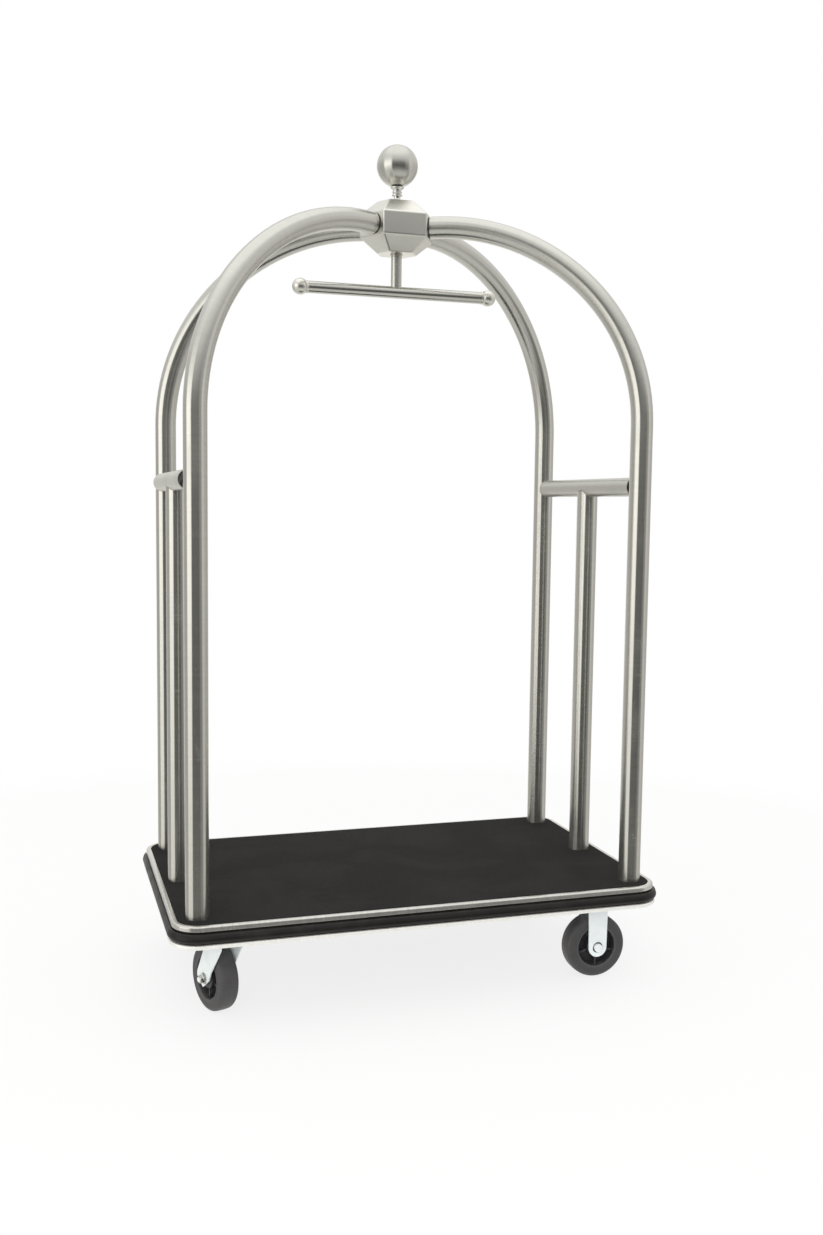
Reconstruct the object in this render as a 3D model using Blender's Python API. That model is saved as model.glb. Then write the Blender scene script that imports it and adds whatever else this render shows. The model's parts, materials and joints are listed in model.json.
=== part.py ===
"""Hotel luggage cart: a carpeted deck on four casters under a birdcage of bent stainless tubes.

Frame: metres, +Z up, origin on the floor under the middle of the deck. +X runs along the deck from
the swivel casters to the rigid casters, and the front of the cart faces -Y.
"""
import math

import bmesh
import bpy
from mathutils import Matrix, Vector

# ---- driving dimensions, in metres -------------------------------------------------------------
GAP = 0.0003                    # clearance between two pieces that touch

TUBE_D = 0.0508                 # posts and arches
TUBE_WALL = 0.0015
BAR_D = 0.0445                  # crossbars
POST_X = 0.510                  # half the spacing of the posts along the deck
POST_Y = 0.279                  # half the spacing of the posts across the deck
CROSSBAR_Z = 1.1685
LEFT_BAR_X = -0.521             # the left crossbar and its middle post stand a little proud
LEFT_MID_X = -0.5155
BEND_START_Z = 1.308            # where the straight posts start to bend
BEND_RADIUS_LOW = 0.444         # radius of the first part of the bend
BEND_RADIUS_HIGH = 0.490        # radius of the rest of the bend
BEND_SPLIT = math.radians(42)   # where the radius changes

CARPET_TOP = 0.2405
CARPET_T = 0.005
CARPET_HOLE_ROOM = 0.0026       # how much wider than its post a hole in the carpet is
BOARD_T = 0.018
FRAME_T = 0.022
PAN_T = 0.002
DECK_X = 0.565                  # half length of the deck over its bright trim
DECK_Y = 0.339                  # half width of the deck over its bright trim
DECK_CORNER_R = 0.060
TRIM_W = 0.0115                 # how far the bright top trim covers the deck's edge
BUMPER_OUT = 0.009              # how far the bumper stands beyond the trim
BUMPER_H = 0.0272

HUB_FACE_X = 0.0515             # half width of the hub's front and back faces
HUB_FACE_Y = 0.071              # half depth of the hub over those faces
HUB_BAND = 0.0262               # half height of the hub's upright band
HUB_CHAMFER = 0.0335            # height of the sloping faces above and below the band
HUB_SHRINK = 0.53               # size of the hub's top and bottom faces over its band
HUB_WALL_SCALE = 0.90
BALL_R = 0.0485
NECK_L = 0.0352
ROD_D = 0.0254
HANGER_D = 0.028
HANGER_Z = 1.6207
HANGER_HALF = 0.231             # from the rod to the middle of an end ball
END_BALL_R = 0.019
STUD_D = 0.010

CASTER_X_LEFT = -0.445          # swivel axes
CASTER_X_RIGHT = 0.4405         # axles of the rigid casters
CASTER_Y = 0.235
WHEEL_R = 0.075
TYRE_W = 0.045
TYRE_SHOULDER = 0.0107
CORE_R = 0.0475
TRAIL = 0.044                   # from the swivel axis to the axle
TRAIL_ANGLE_FRONT = math.radians(109)
TRAIL_ANGLE_BACK = math.radians(35)
AXLE_D = 0.012
BUSHING_D = 0.016
LEG_T = 0.0035
LEG_IN = 0.0252                 # from the wheel's middle plane to the inside of a fork leg
PLATE_X = 0.110
PLATE_Y = 0.086
PLATE_T = 0.004
PLATE_HOLE_X = 0.080
PLATE_HOLE_Y = 0.058
PLATE_HOLE_D = 0.009

TUBE_SIDES = 16
BEND_STEPS = 5

# ---- places worked out from them ---------------------------------------------------------------
CARPET_BOTTOM = CARPET_TOP - CARPET_T
BOARD_TOP = CARPET_BOTTOM - GAP
BOARD_BOTTOM = BOARD_TOP - BOARD_T
FRAME_TOP = BOARD_BOTTOM - GAP
FRAME_BOTTOM = FRAME_TOP - FRAME_T
PAN_TOP = FRAME_BOTTOM - GAP
PAN_BOTTOM = PAN_TOP - PAN_T
PLATE_TOP = PAN_BOTTOM - GAP
PLATE_BOTTOM = PLATE_TOP - PLATE_T
POST_FOOT = BOARD_TOP + GAP
TRIM_TOP = CARPET_TOP - 0.0012
TRIM_BOTTOM = TRIM_TOP - 0.0118
INNER_X = DECK_X - TRIM_W
INNER_Y = DECK_Y - TRIM_W
INNER_CORNER_R = DECK_CORNER_R - TRIM_W
BOARD_INSET = 0.0034            # the board's edge lies this far inside the deck's outline

ARCH_REACH = math.hypot(POST_X, POST_Y)
ARCH_ANGLE = math.atan2(POST_Y, POST_X)
HUB_Z = (BEND_START_Z + BEND_RADIUS_LOW * math.sin(BEND_SPLIT)
         + BEND_RADIUS_HIGH * (1.0 - math.sin(BEND_SPLIT)))
HUB_POINT_X = HUB_FACE_X + HUB_FACE_Y * math.tan(ARCH_ANGLE)
HUB_FACE_REACH = HUB_FACE_X * math.cos(ARCH_ANGLE) + HUB_FACE_Y * math.sin(ARCH_ANGLE)
HUB_TOP = HUB_Z + HUB_BAND + HUB_CHAMFER
HUB_BOTTOM = HUB_Z - HUB_BAND - HUB_CHAMFER
BALL_Z = HUB_TOP + NECK_L + BALL_R
AXLE_END = LEG_IN + LEG_T + GAP         # from the middle plane to a leg's outer face, and the gap

LEFT, RIGHT, FRONT, BACK = -1, 1, -1, 1


# ---- tools -------------------------------------------------------------------------------------
def material(name, colour, roughness, metallic):
    finish = bpy.data.materials.new(name)
    finish.use_nodes = True
    shader = finish.node_tree.nodes["Principled BSDF"]
    shader.inputs["Base Color"].default_value = (*colour, 1.0)
    shader.inputs["Roughness"].default_value = roughness
    shader.inputs["Metallic"].default_value = metallic
    finish.diffuse_color = (*colour, 1.0)
    return finish


def add(name, bm, finish, parent=None, place=None):
    """Turn a bmesh into a named object, smooth where its faces meet softly."""
    bmesh.ops.remove_doubles(bm, verts=bm.verts, dist=1e-6)
    bmesh.ops.recalc_face_normals(bm, faces=bm.faces)
    mesh = bpy.data.meshes.new(name)
    bm.to_mesh(mesh)
    bm.free()
    mesh.shade_smooth()
    mesh.set_sharp_from_angle(angle=math.radians(32))
    piece = bpy.data.objects.new(name, mesh)
    bpy.context.scene.collection.objects.link(piece)
    if finish:
        mesh.materials.append(finish)
    if place:
        piece.matrix_local = place
    piece.parent = parent
    return piece


def empty(name, place):
    axis = bpy.data.objects.new(name, None)
    bpy.context.scene.collection.objects.link(axis)
    axis.matrix_local = place
    return axis


def cutter(name, bm, target, operation="DIFFERENCE", place=None):
    """Hide a shape as a guide and let the target's Boolean modifier use it."""
    guide = add(name, bm, None, target.parent, place)
    guide.hide_render = True
    guide.display_type = "WIRE"
    change = target.modifiers.new(name, "BOOLEAN")
    change.operation = operation
    change.solver = "EXACT"
    change.object = guide
    return guide


def skin(rings, closed):
    """Join equal rings of points with faces; an open run of rings gets flat ends."""
    bm = bmesh.new()
    loops = [[bm.verts.new(point) for point in ring] for ring in rings]
    followers = loops[1:] + (loops[:1] if closed else [])
    for ring, following in zip(loops, followers):
        for i in range(len(ring)):
            j = (i + 1) % len(ring)
            bm.faces.new((ring[i], ring[j], following[j], following[i]))
    if not closed:
        bm.faces.new(loops[0])
        bm.faces.new(loops[-1])
    return bm


def turned(profile, sides=24, closed=True):
    """Turn a closed profile of (radius, height) points about Z."""
    rings = []
    for k in range(sides):
        turn = 2.0 * math.pi * k / sides
        rings.append([(r * math.cos(turn), r * math.sin(turn), z) for r, z in profile])
    return skin(rings, closed)


def rod(diameter, low, high, sides=16):
    radius = diameter / 2.0
    return turned([(0, low), (radius, low), (radius, high), (0, high)], sides)


def pipe(outer, inner, low, high, sides=TUBE_SIDES):
    return turned([(inner / 2, low), (outer / 2, low), (outer / 2, high), (inner / 2, high)], sides)


def block(x0, x1, y0, y1, z0, z1):
    return skin([[(x0, y0, z), (x1, y0, z), (x1, y1, z), (x0, y1, z)] for z in (z0, z1)], False)


def rounded_outline(half_x, half_y, radius, z, steps=5):
    """Points of a rounded rectangle, anticlockwise seen from above."""
    points = []
    corners = ((1, 1, 0), (-1, 1, 90), (-1, -1, 180), (1, -1, 270))
    for side_x, side_y, start in corners:
        for k in range(steps + 1):
            turn = math.radians(start + 90.0 * k / steps)
            points.append((side_x * (half_x - radius) + radius * math.cos(turn),
                           side_y * (half_y - radius) + radius * math.sin(turn), z))
    return points


def slab(half_x, half_y, radius, low, high):
    return skin([rounded_outline(half_x, half_y, radius, z) for z in (low, high)], False)


def edge_strip(profile):
    """Run a closed profile of (distance outward from the carpet's edge, height) round the deck."""
    rings = [rounded_outline(INNER_X + out, INNER_Y + out, INNER_CORNER_R + out, z)
             for out, z in profile]
    return skin(rings, True)


def scaled(outline, factor, z):
    return [(x * factor, y * factor, z) for x, y in outline]


def prism(outline, low, high, axis="Z"):
    """Extrude a flat outline along Z, or along Y with the outline read as (x, z)."""
    if axis == "Z":
        return skin([[(u, v, h) for u, v in outline] for h in (low, high)], False)
    return skin([[(u, h, v) for u, v in outline] for h in (low, high)], False)


ALONG_X = Matrix.Rotation(math.radians(90), 4, "Y")
ALONG_Y = Matrix.Rotation(math.radians(-90), 4, "X")


# ---- finishes ----------------------------------------------------------------------------------
def finishes():
    return {
        "steel": material("brushed_stainless", (0.60, 0.59, 0.55), 0.28, 1.0),
        "bright": material("polished_stainless", (0.72, 0.71, 0.68), 0.12, 1.0),
        "zinc": material("zinc_plated_steel", (0.70, 0.76, 0.78), 0.35, 1.0),
        "carpet": material("charcoal_carpet", (0.035, 0.033, 0.034), 0.95, 0.0),
        "vinyl": material("black_vinyl", (0.020, 0.017, 0.016), 0.35, 0.0),
        "rubber": material("grey_rubber", (0.075, 0.073, 0.075), 0.60, 0.0),
        "core": material("black_nylon", (0.018, 0.018, 0.020), 0.45, 0.0),
        "board": material("plywood", (0.36, 0.25, 0.15), 0.75, 0.0),
        "painted": material("painted_steel", (0.03, 0.03, 0.03), 0.50, 0.0),
    }


# ---- deck --------------------------------------------------------------------------------------
def post_places():
    """Name and place of the six posts' feet."""
    places = {}
    for side_x, name_x in ((LEFT, "left"), (RIGHT, "right")):
        for side_y, name_y in ((FRONT, "front"), (BACK, "back")):
            places[name_y + "_" + name_x] = (side_x * POST_X, side_y * POST_Y)
    places["mid_left"] = (LEFT_MID_X, 0.0)
    places["mid_right"] = (POST_X, 0.0)
    return places


def build_deck(look):
    board = add("deck_board", slab(DECK_X - BOARD_INSET, DECK_Y - BOARD_INSET,
                                   DECK_CORNER_R - BOARD_INSET, BOARD_BOTTOM, BOARD_TOP), look["board"])
    carpet = add("deck_carpet", slab(INNER_X - GAP, INNER_Y - GAP, INNER_CORNER_R - GAP,
                                     CARPET_BOTTOM, CARPET_TOP), look["carpet"])
    for name, (x, y) in post_places().items():
        place = Matrix.Translation((x, y, 0))
        cutter("carpet_hole_" + name, rod(TUBE_D + CARPET_HOLE_ROOM, CARPET_BOTTOM - 0.01,
                                          CARPET_TOP + 0.01, 20), carpet, place=place)
        cutter("board_hole_" + name, rod(AXLE_D + 2 * GAP, BOARD_BOTTOM - 0.01, BOARD_TOP + 0.01, 12),
               board, place=place)
        plug_r = TUBE_D / 2 - TUBE_WALL - GAP
        add("post_anchor_" + name,
            turned([(0, FRAME_TOP - 0.012), (AXLE_D / 2 - GAP, FRAME_TOP - 0.012),
                    (AXLE_D / 2 - GAP, POST_FOOT), (plug_r - GAP, POST_FOOT),
                    (plug_r - GAP, POST_FOOT + 0.020), (0, POST_FOOT + 0.020)], 12),
            look["painted"], place=place)

    over = CARPET_BOTTOM                 # underside of the trim's flat part, on the board's rim
    flange = TRIM_W - BOARD_INSET + GAP  # inner side of the flange that covers the board's edge
    add("trim_top", edge_strip([
        (0, over), (0, TRIM_TOP - 0.0006), (0.0012, TRIM_TOP), (TRIM_W - 0.0042, TRIM_TOP),
        (TRIM_W - 0.0012, TRIM_TOP - 0.0020), (TRIM_W, TRIM_TOP - 0.0052), (TRIM_W, TRIM_BOTTOM),
        (flange, TRIM_BOTTOM), (flange, over)]), look["steel"])

    top = TRIM_BOTTOM - GAP
    base = top - BUMPER_H
    out = TRIM_W + BUMPER_OUT
    add("bumper", edge_strip([
        (flange, base), (flange, top), (out - 0.0060, top), (out - 0.0018, top - 0.0022),
        (out, top - 0.0075), (out, base + 0.0075), (out - 0.0018, base + 0.0022),
        (out - 0.0060, base)]), look["vinyl"])

    lip = base - GAP
    low = lip - 0.0090
    add("trim_bottom", edge_strip([
        (flange, low), (flange, lip), (TRIM_W + 0.0035, lip), (TRIM_W + 0.0052, lip - 0.0018),
        (TRIM_W + 0.0052, low + 0.0018), (TRIM_W + 0.0035, low)]), look["steel"])

    inside = flange - GAP
    add("frame_ring", edge_strip([
        (inside, FRAME_BOTTOM), (inside, FRAME_TOP), (inside - FRAME_T, FRAME_TOP),
        (inside - FRAME_T, FRAME_BOTTOM)]), look["painted"])
    reach = INNER_Y + inside - FRAME_T - GAP
    beams = (("caster_beam_left", CASTER_X_LEFT, PLATE_X / 2), ("cross_beam", 0.0, 0.020),
             ("caster_beam_right", CASTER_X_RIGHT, PLATE_X / 2))
    for name, x, half in beams:
        add(name, block(x - half, x + half, -reach, reach, FRAME_BOTTOM, FRAME_TOP), look["painted"])
    add("underside_sheet", slab(INNER_X + inside, INNER_Y + inside, INNER_CORNER_R + inside,
                                PAN_BOTTOM, PAN_TOP), look["painted"])


# ---- birdcage ----------------------------------------------------------------------------------
def arch_centreline():
    """(reach from the hub's axis, height, lean from upright) along one arch, foot to hub."""
    line = [(ARCH_REACH, POST_FOOT, 0.0)]
    for k in range(BEND_STEPS + 1):
        lean = BEND_SPLIT * k / BEND_STEPS
        line.append((ARCH_REACH - BEND_RADIUS_LOW * (1 - math.cos(lean)),
                     BEND_START_Z + BEND_RADIUS_LOW * math.sin(lean), lean))
    reach, height, _ = line[-1]
    quarter = math.pi / 2
    for k in range(1, BEND_STEPS + 1):
        lean = BEND_SPLIT + (quarter - BEND_SPLIT) * k / BEND_STEPS
        line.append((reach - BEND_RADIUS_HIGH * (math.cos(BEND_SPLIT) - math.cos(lean)),
                     height + BEND_RADIUS_HIGH * (math.sin(lean) - math.sin(BEND_SPLIT)), lean))
    line.append((HUB_FACE_REACH + 2 * GAP, HUB_Z, quarter))
    return line


def arch_rings(radius):
    """Circles across the arch's centreline, in the XZ plane with the hub's axis at x = 0."""
    rings = []
    for reach, height, lean in arch_centreline():
        across = Vector((math.cos(lean), 0, math.sin(lean)))
        ring = []
        for k in range(TUBE_SIDES):
            turn = 2 * math.pi * k / TUBE_SIDES
            point = Vector((reach, 0, height)) + radius * (math.cos(turn) * across
                                                           + Vector((0, math.sin(turn), 0)))
            ring.append(point)
        rings.append(ring)
    return rings


def build_arches(look):
    for name, (x, y) in post_places().items():
        if name.startswith("mid"):
            continue
        outside = arch_rings(TUBE_D / 2)
        bore = arch_rings(TUBE_D / 2 - TUBE_WALL)
        heading = Matrix.Rotation(math.atan2(y, x), 4, "Z")
        add("arch_" + name, skin(outside + bore[::-1], True), look["steel"], place=heading)


def build_ends(look):
    half = POST_Y - TUBE_D / 2 - GAP
    for name, bar_x, post_x in (("left", LEFT_BAR_X, LEFT_MID_X), ("right", POST_X, POST_X)):
        at_bar = Matrix.Translation((bar_x, 0, CROSSBAR_Z)) @ ALONG_Y
        add("crossbar_" + name, pipe(BAR_D, BAR_D - 2 * TUBE_WALL, -half, half), look["steel"],
            place=at_bar)
        post = add("mid_post_" + name, pipe(TUBE_D, TUBE_D - 2 * TUBE_WALL, POST_FOOT, CROSSBAR_Z),
                   look["steel"], place=Matrix.Translation((post_x, 0, 0)))
        cutter("cope_" + name, rod(BAR_D + 2 * GAP, -half, half, TUBE_SIDES), post, place=at_bar)


def hub_outline():
    return [(-HUB_FACE_X, -HUB_FACE_Y), (HUB_FACE_X, -HUB_FACE_Y), (HUB_POINT_X, 0),
            (HUB_FACE_X, HUB_FACE_Y), (-HUB_FACE_X, HUB_FACE_Y), (-HUB_POINT_X, 0)]


def hub_shape(size):
    """The hub's faceted block, or a smaller one of the same shape."""
    outline = hub_outline()
    return skin([scaled(outline, HUB_SHRINK * size, (HUB_BOTTOM - HUB_Z) * size),
                 scaled(outline, size, -HUB_BAND * size),
                 scaled(outline, size, HUB_BAND * size),
                 scaled(outline, HUB_SHRINK * size, (HUB_TOP - HUB_Z) * size)], False)


def build_top(look):
    at_hub = Matrix.Translation((0, 0, HUB_Z))
    hub = add("hub", hub_shape(1.0), look["steel"], place=at_hub)
    cutter("hub_hollow", hub_shape(HUB_WALL_SCALE), hub, place=at_hub)
    cutter("hub_hole", rod(STUD_D + 2 * GAP, -0.08, 0.08, 12), hub, place=at_hub)

    foot = HUB_TOP + GAP
    seat = BALL_Z - BALL_R - GAP
    stud = STUD_D / 2
    add("finial_neck", turned([
        (0, foot - 0.012), (stud, foot - 0.012), (stud, foot), (0.0125, foot),
        (0.0125, foot + 0.003), (0.0080, foot + 0.008), (0.0075, foot + 0.013),
        (0.0108, foot + 0.0145), (0.0108, foot + 0.019), (0.0090, foot + 0.020),
        (0.0132, foot + 0.0225), (0.0132, foot + 0.027), (0.0110, foot + 0.0285),
        (0.0165, foot + 0.0315), (0.0165, seat - 0.0012), (stud - 0.001, seat - 0.0008),
        (stud - 0.001, seat + 0.008), (0, seat + 0.008)], 14), look["bright"])

    # a spun hollow ball, open round the neck's stud at its foot
    opening = math.asin((stud + GAP) / BALL_R)
    inner_r = BALL_R - 0.002
    opening_in = math.asin((stud + GAP) / inner_r)
    steps = 6
    outside = [opening + (math.pi - opening) * k / steps for k in range(steps + 1)]
    inside = [opening_in + (math.pi - opening_in) * k / steps for k in range(steps + 1)]
    profile = [(BALL_R * math.sin(a), -BALL_R * math.cos(a)) for a in outside]
    profile += [(inner_r * math.sin(a), -inner_r * math.cos(a)) for a in reversed(inside)]
    add("finial_ball", turned(profile, 16), look["steel"], place=Matrix.Translation((0, 0, BALL_Z)))

    top = HUB_BOTTOM - GAP
    hanger_rod = add("hanger_rod", turned([
        (0, HANGER_Z), (ROD_D / 2, HANGER_Z), (ROD_D / 2, top), (stud, top), (stud, top + 0.012),
        (0, top + 0.012)], TUBE_SIDES), look["steel"])
    at_bar = Matrix.Translation((0, 0, HANGER_Z)) @ ALONG_X
    cutter("hanger_saddle", rod(HANGER_D + 2 * GAP, -0.05, 0.05, TUBE_SIDES), hanger_rod, place=at_bar)

    bar_end = HANGER_HALF - END_BALL_R * 0.95
    add("hanger_bar", pipe(HANGER_D, HANGER_D - 2 * TUBE_WALL, -bar_end, bar_end), look["steel"],
        place=at_bar)
    for side, name in ((LEFT, "left"), (RIGHT, "right")):
        flat = bar_end + GAP
        start = math.acos((HANGER_HALF - flat - 0.003) / END_BALL_R)
        steps = 5
        arc = [start + (math.pi - start) * k / steps for k in range(steps + 1)]
        plug = HANGER_D / 2 - TUBE_WALL - 2 * GAP
        profile = [(0, flat - 0.008), (plug, flat - 0.008), (plug, flat), (0.0152, flat),
                   (0.0152, flat + 0.003)]
        profile += [(END_BALL_R * math.sin(a), HANGER_HALF - END_BALL_R * math.cos(a)) for a in arc]
        turn = Matrix.Rotation(math.radians(90 * side), 4, "Y")
        add("hanger_ball_" + name, turned(profile, 14), look["steel"],
            place=Matrix.Translation((0, 0, HANGER_Z)) @ turn)


# ---- casters -----------------------------------------------------------------------------------
def build_wheel(look, name, hold, wheel_place):
    """Bushing, bolt and nut that stay with the fork, and the core and tyre that roll."""
    core_half = TYRE_W / 2 - 0.002
    add("bushing_" + name, pipe(BUSHING_D, AXLE_D + 2 * GAP, -LEG_IN + GAP, LEG_IN - GAP, 16),
        look["zinc"], hold, wheel_place @ ALONG_Y)
    head = AXLE_END + 0.006
    add("axle_bolt_" + name, turned([
        (0, -head), (0.0092, -head), (0.0092, -AXLE_END), (AXLE_D / 2, -AXLE_END),
        (AXLE_D / 2, AXLE_END + 0.013), (0, AXLE_END + 0.013)], 10),
        look["zinc"], hold, wheel_place @ ALONG_Y)
    nut = [(0.0108 * math.cos(math.radians(60 * k)), 0.0108 * math.sin(math.radians(60 * k)))
           for k in range(6)]
    piece = add("axle_nut_" + name, prism(nut, AXLE_END, AXLE_END + 0.009), look["zinc"], hold,
                wheel_place @ ALONG_Y)
    cutter("nut_hole_" + name, rod(AXLE_D + 2 * GAP, 0, 0.06, 12), piece, place=wheel_place @ ALONG_Y)

    axis = empty("axle_" + name, wheel_place)
    axis.parent = hold
    bore = BUSHING_D / 2 + 0.0003
    web = 0.004
    core = add("wheel_core_" + name, turned([
        (bore, -core_half), (0.0235, -core_half), (0.0242, -web), (0.0440, -web),
        (0.0458, -core_half), (CORE_R - GAP, -core_half), (CORE_R - GAP, core_half),
        (0.0458, core_half), (0.0440, web), (0.0242, web), (0.0235, core_half), (bore, core_half)], 18),
        look["core"], axis, ALONG_Y)
    for k in range(5):
        rib = block(0.0200, 0.0452, -0.0022, 0.0022, -core_half + 0.004, core_half - 0.004)
        turn = Matrix.Rotation(math.radians(90 + 72 * k), 4, "Z")
        cutter("rib_%d_%s" % (k, name), rib, core, "UNION", ALONG_Y @ turn)
    half = TYRE_W / 2
    crown = half - TYRE_SHOULDER
    shoulder = [math.radians(45 * k) for k in range(3)]
    side = [(WHEEL_R - TYRE_SHOULDER + TYRE_SHOULDER * math.sin(a), crown + TYRE_SHOULDER * math.cos(a))
            for a in shoulder]
    side[-1] = (WHEEL_R - 0.0006, crown)
    profile = [(CORE_R, half - 0.001)] + side + [(WHEEL_R, 0)]
    profile += [(r, -w) for r, w in reversed(side)] + [(CORE_R, -half + 0.001)]
    add("tyre_" + name, turned(profile, 28), look["rubber"], axis, ALONG_Y)


def leg_outline(top_z, half_top, foot_x, foot_r, top_x=0.0):
    """One fork leg seen from its side: wide at the top and rounded round the axle."""
    points = [(top_x + half_top, top_z), (top_x - half_top, top_z)]
    for k in range(9):
        turn = math.radians(180 + 22.5 * k)
        points.append((foot_x + foot_r * math.cos(turn), WHEEL_R + foot_r * math.sin(turn)))
    return points


def add_legs(fork, name, outline):
    for side in (FRONT, BACK):
        inner, outer = LEG_IN, LEG_IN + LEG_T
        low, high = (inner, outer) if side > 0 else (-outer, -inner)
        cutter("leg_%d_%s" % (side, name), prism(outline, low, high, "Y"), fork, "UNION")


def cut_plate_holes(plate, name, centre):
    for side_x in (LEFT, RIGHT):
        for side_y in (FRONT, BACK):
            hole = rod(PLATE_HOLE_D, PLATE_BOTTOM - 0.01, PLATE_TOP + 0.01, 10)
            place = Matrix.Translation((centre[0] + side_x * PLATE_HOLE_X / 2,
                                        centre[1] + side_y * PLATE_HOLE_Y / 2, 0))
            cutter("plate_hole_%d_%d_%s" % (side_x, side_y, name), hole, plate, place=place)


def build_rigid_caster(look, name, side_y):
    centre = (CASTER_X_RIGHT, side_y * CASTER_Y)
    facing = 0.0 if side_y < 0 else math.pi
    hold = empty("rigid_caster_" + name,
                 Matrix.Translation((*centre, 0)) @ Matrix.Rotation(facing, 4, "Z"))
    fork = add("rigid_fork_" + name, block(-PLATE_X / 2, PLATE_X / 2, -PLATE_Y / 2, PLATE_Y / 2,
                                           PLATE_BOTTOM, PLATE_TOP), look["zinc"], hold)
    add_legs(fork, name, leg_outline(PLATE_BOTTOM + 0.002, 0.025, 0.0, 0.0225))
    cutter("axle_hole_" + name, rod(AXLE_D + 2 * GAP, -0.05, 0.05, 12), fork,
           place=Matrix.Translation((0, 0, WHEEL_R)) @ ALONG_Y)
    cut_plate_holes(fork, name, (0, 0))
    build_wheel(look, name, hold, Matrix.Translation((0, 0, WHEEL_R)))


def build_swivel_caster(look, name, side_y, trail_angle):
    centre = (CASTER_X_LEFT, side_y * CASTER_Y)
    race_bottom = PLATE_BOTTOM - 0.006
    plate = add("swivel_plate_" + name, block(
        centre[0] - PLATE_X / 2, centre[0] + PLATE_X / 2, centre[1] - PLATE_Y / 2,
        centre[1] + PLATE_Y / 2, PLATE_BOTTOM, PLATE_TOP), look["zinc"])
    here = Matrix.Translation((*centre, 0))
    cutter("race_" + name, turned([(0, race_bottom), (0.0270, race_bottom), (0.0305, PLATE_BOTTOM + 0.001),
                                   (0, PLATE_BOTTOM + 0.001)], 20), plate, "UNION", here)
    cutter("pin_hole_" + name, rod(AXLE_D + 2 * GAP, 0.15, 0.22, 12), plate, place=here)
    cut_plate_holes(plate, name, centre)

    crown_top = race_bottom - GAP
    crown_bottom = crown_top - 0.011
    add("kingpin_" + name, turned([
        (0, crown_bottom - 0.0075), (0.0105, crown_bottom - 0.0075), (0.0105, crown_bottom - GAP),
        (AXLE_D / 2, crown_bottom - GAP), (AXLE_D / 2, PLATE_TOP - GAP), (0, PLATE_TOP - GAP)], 12),
        look["zinc"], place=here)

    hold = empty("swivel_axis_" + name, here @ Matrix.Rotation(trail_angle, 4, "Z"))
    fork = add("swivel_fork_" + name, turned([
        (0, crown_bottom), (0.0330, crown_bottom), (0.0345, crown_bottom + 0.003),
        (0.0310, crown_top), (0, crown_top)], 20), look["zinc"], hold)
    add_legs(fork, name, leg_outline(crown_bottom + 0.004, 0.0300, TRAIL + 0.004, 0.0240, -0.0055))
    cutter("axle_hole_" + name, rod(AXLE_D + 2 * GAP, -0.05, 0.05, 12), fork,
           place=Matrix.Translation((TRAIL, 0, WHEEL_R)) @ ALONG_Y)
    cutter("crown_hole_" + name, rod(AXLE_D + 4 * GAP, 0.15, 0.22, 12), fork)
    build_wheel(look, name, hold, Matrix.Translation((TRAIL, 0, WHEEL_R)))


# ---- the cart ----------------------------------------------------------------------------------
def build_cart():
    for old in list(bpy.data.objects):
        bpy.data.objects.remove(old, do_unlink=True)
    look = finishes()
    build_deck(look)
    build_arches(look)
    build_ends(look)
    build_top(look)
    build_rigid_caster(look, "front_right", FRONT)
    build_rigid_caster(look, "back_right", BACK)
    build_swivel_caster(look, "front_left", FRONT, TRAIL_ANGLE_FRONT)
    build_swivel_caster(look, "back_left", BACK, TRAIL_ANGLE_BACK)


build_cart()
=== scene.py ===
"""Hotel luggage cart: a birdcage of brushed tubes over a carpeted deck on four casters.

Metres, +Z up, in the frame of the CAD model. Each piece is modelled where it belongs and rides on
the CAD body that it moves with.
"""
import json
from math import acos, asin, atan2, cos, degrees, hypot, pi, radians, sin, sqrt

import bmesh
import bpy
import numpy as np
from mathutils import Matrix, Vector


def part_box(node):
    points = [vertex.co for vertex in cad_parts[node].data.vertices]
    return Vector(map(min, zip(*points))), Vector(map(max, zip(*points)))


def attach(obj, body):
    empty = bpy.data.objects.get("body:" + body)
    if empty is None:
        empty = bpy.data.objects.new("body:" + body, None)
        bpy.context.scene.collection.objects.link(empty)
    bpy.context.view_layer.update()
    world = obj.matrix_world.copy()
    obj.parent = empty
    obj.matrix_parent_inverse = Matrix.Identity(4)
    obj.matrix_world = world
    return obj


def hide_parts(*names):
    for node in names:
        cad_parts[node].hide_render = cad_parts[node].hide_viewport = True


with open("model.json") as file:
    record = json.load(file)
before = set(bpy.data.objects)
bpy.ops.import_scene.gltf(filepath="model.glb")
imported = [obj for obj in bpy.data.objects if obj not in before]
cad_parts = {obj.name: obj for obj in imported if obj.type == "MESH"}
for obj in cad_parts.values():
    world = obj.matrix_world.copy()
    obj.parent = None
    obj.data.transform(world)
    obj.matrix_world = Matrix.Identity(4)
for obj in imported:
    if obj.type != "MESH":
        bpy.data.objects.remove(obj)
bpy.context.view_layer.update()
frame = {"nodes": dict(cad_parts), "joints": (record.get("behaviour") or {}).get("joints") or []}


# ---- places and sizes taken from the CAD nodes ----
def box(node):
    low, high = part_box(node)
    return Vector(low), Vector(high)


def middle(node):
    low, high = box(node)
    return (low + high) / 2


def half_size(node):
    low, high = box(node)
    return (high - low) / 2


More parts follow.
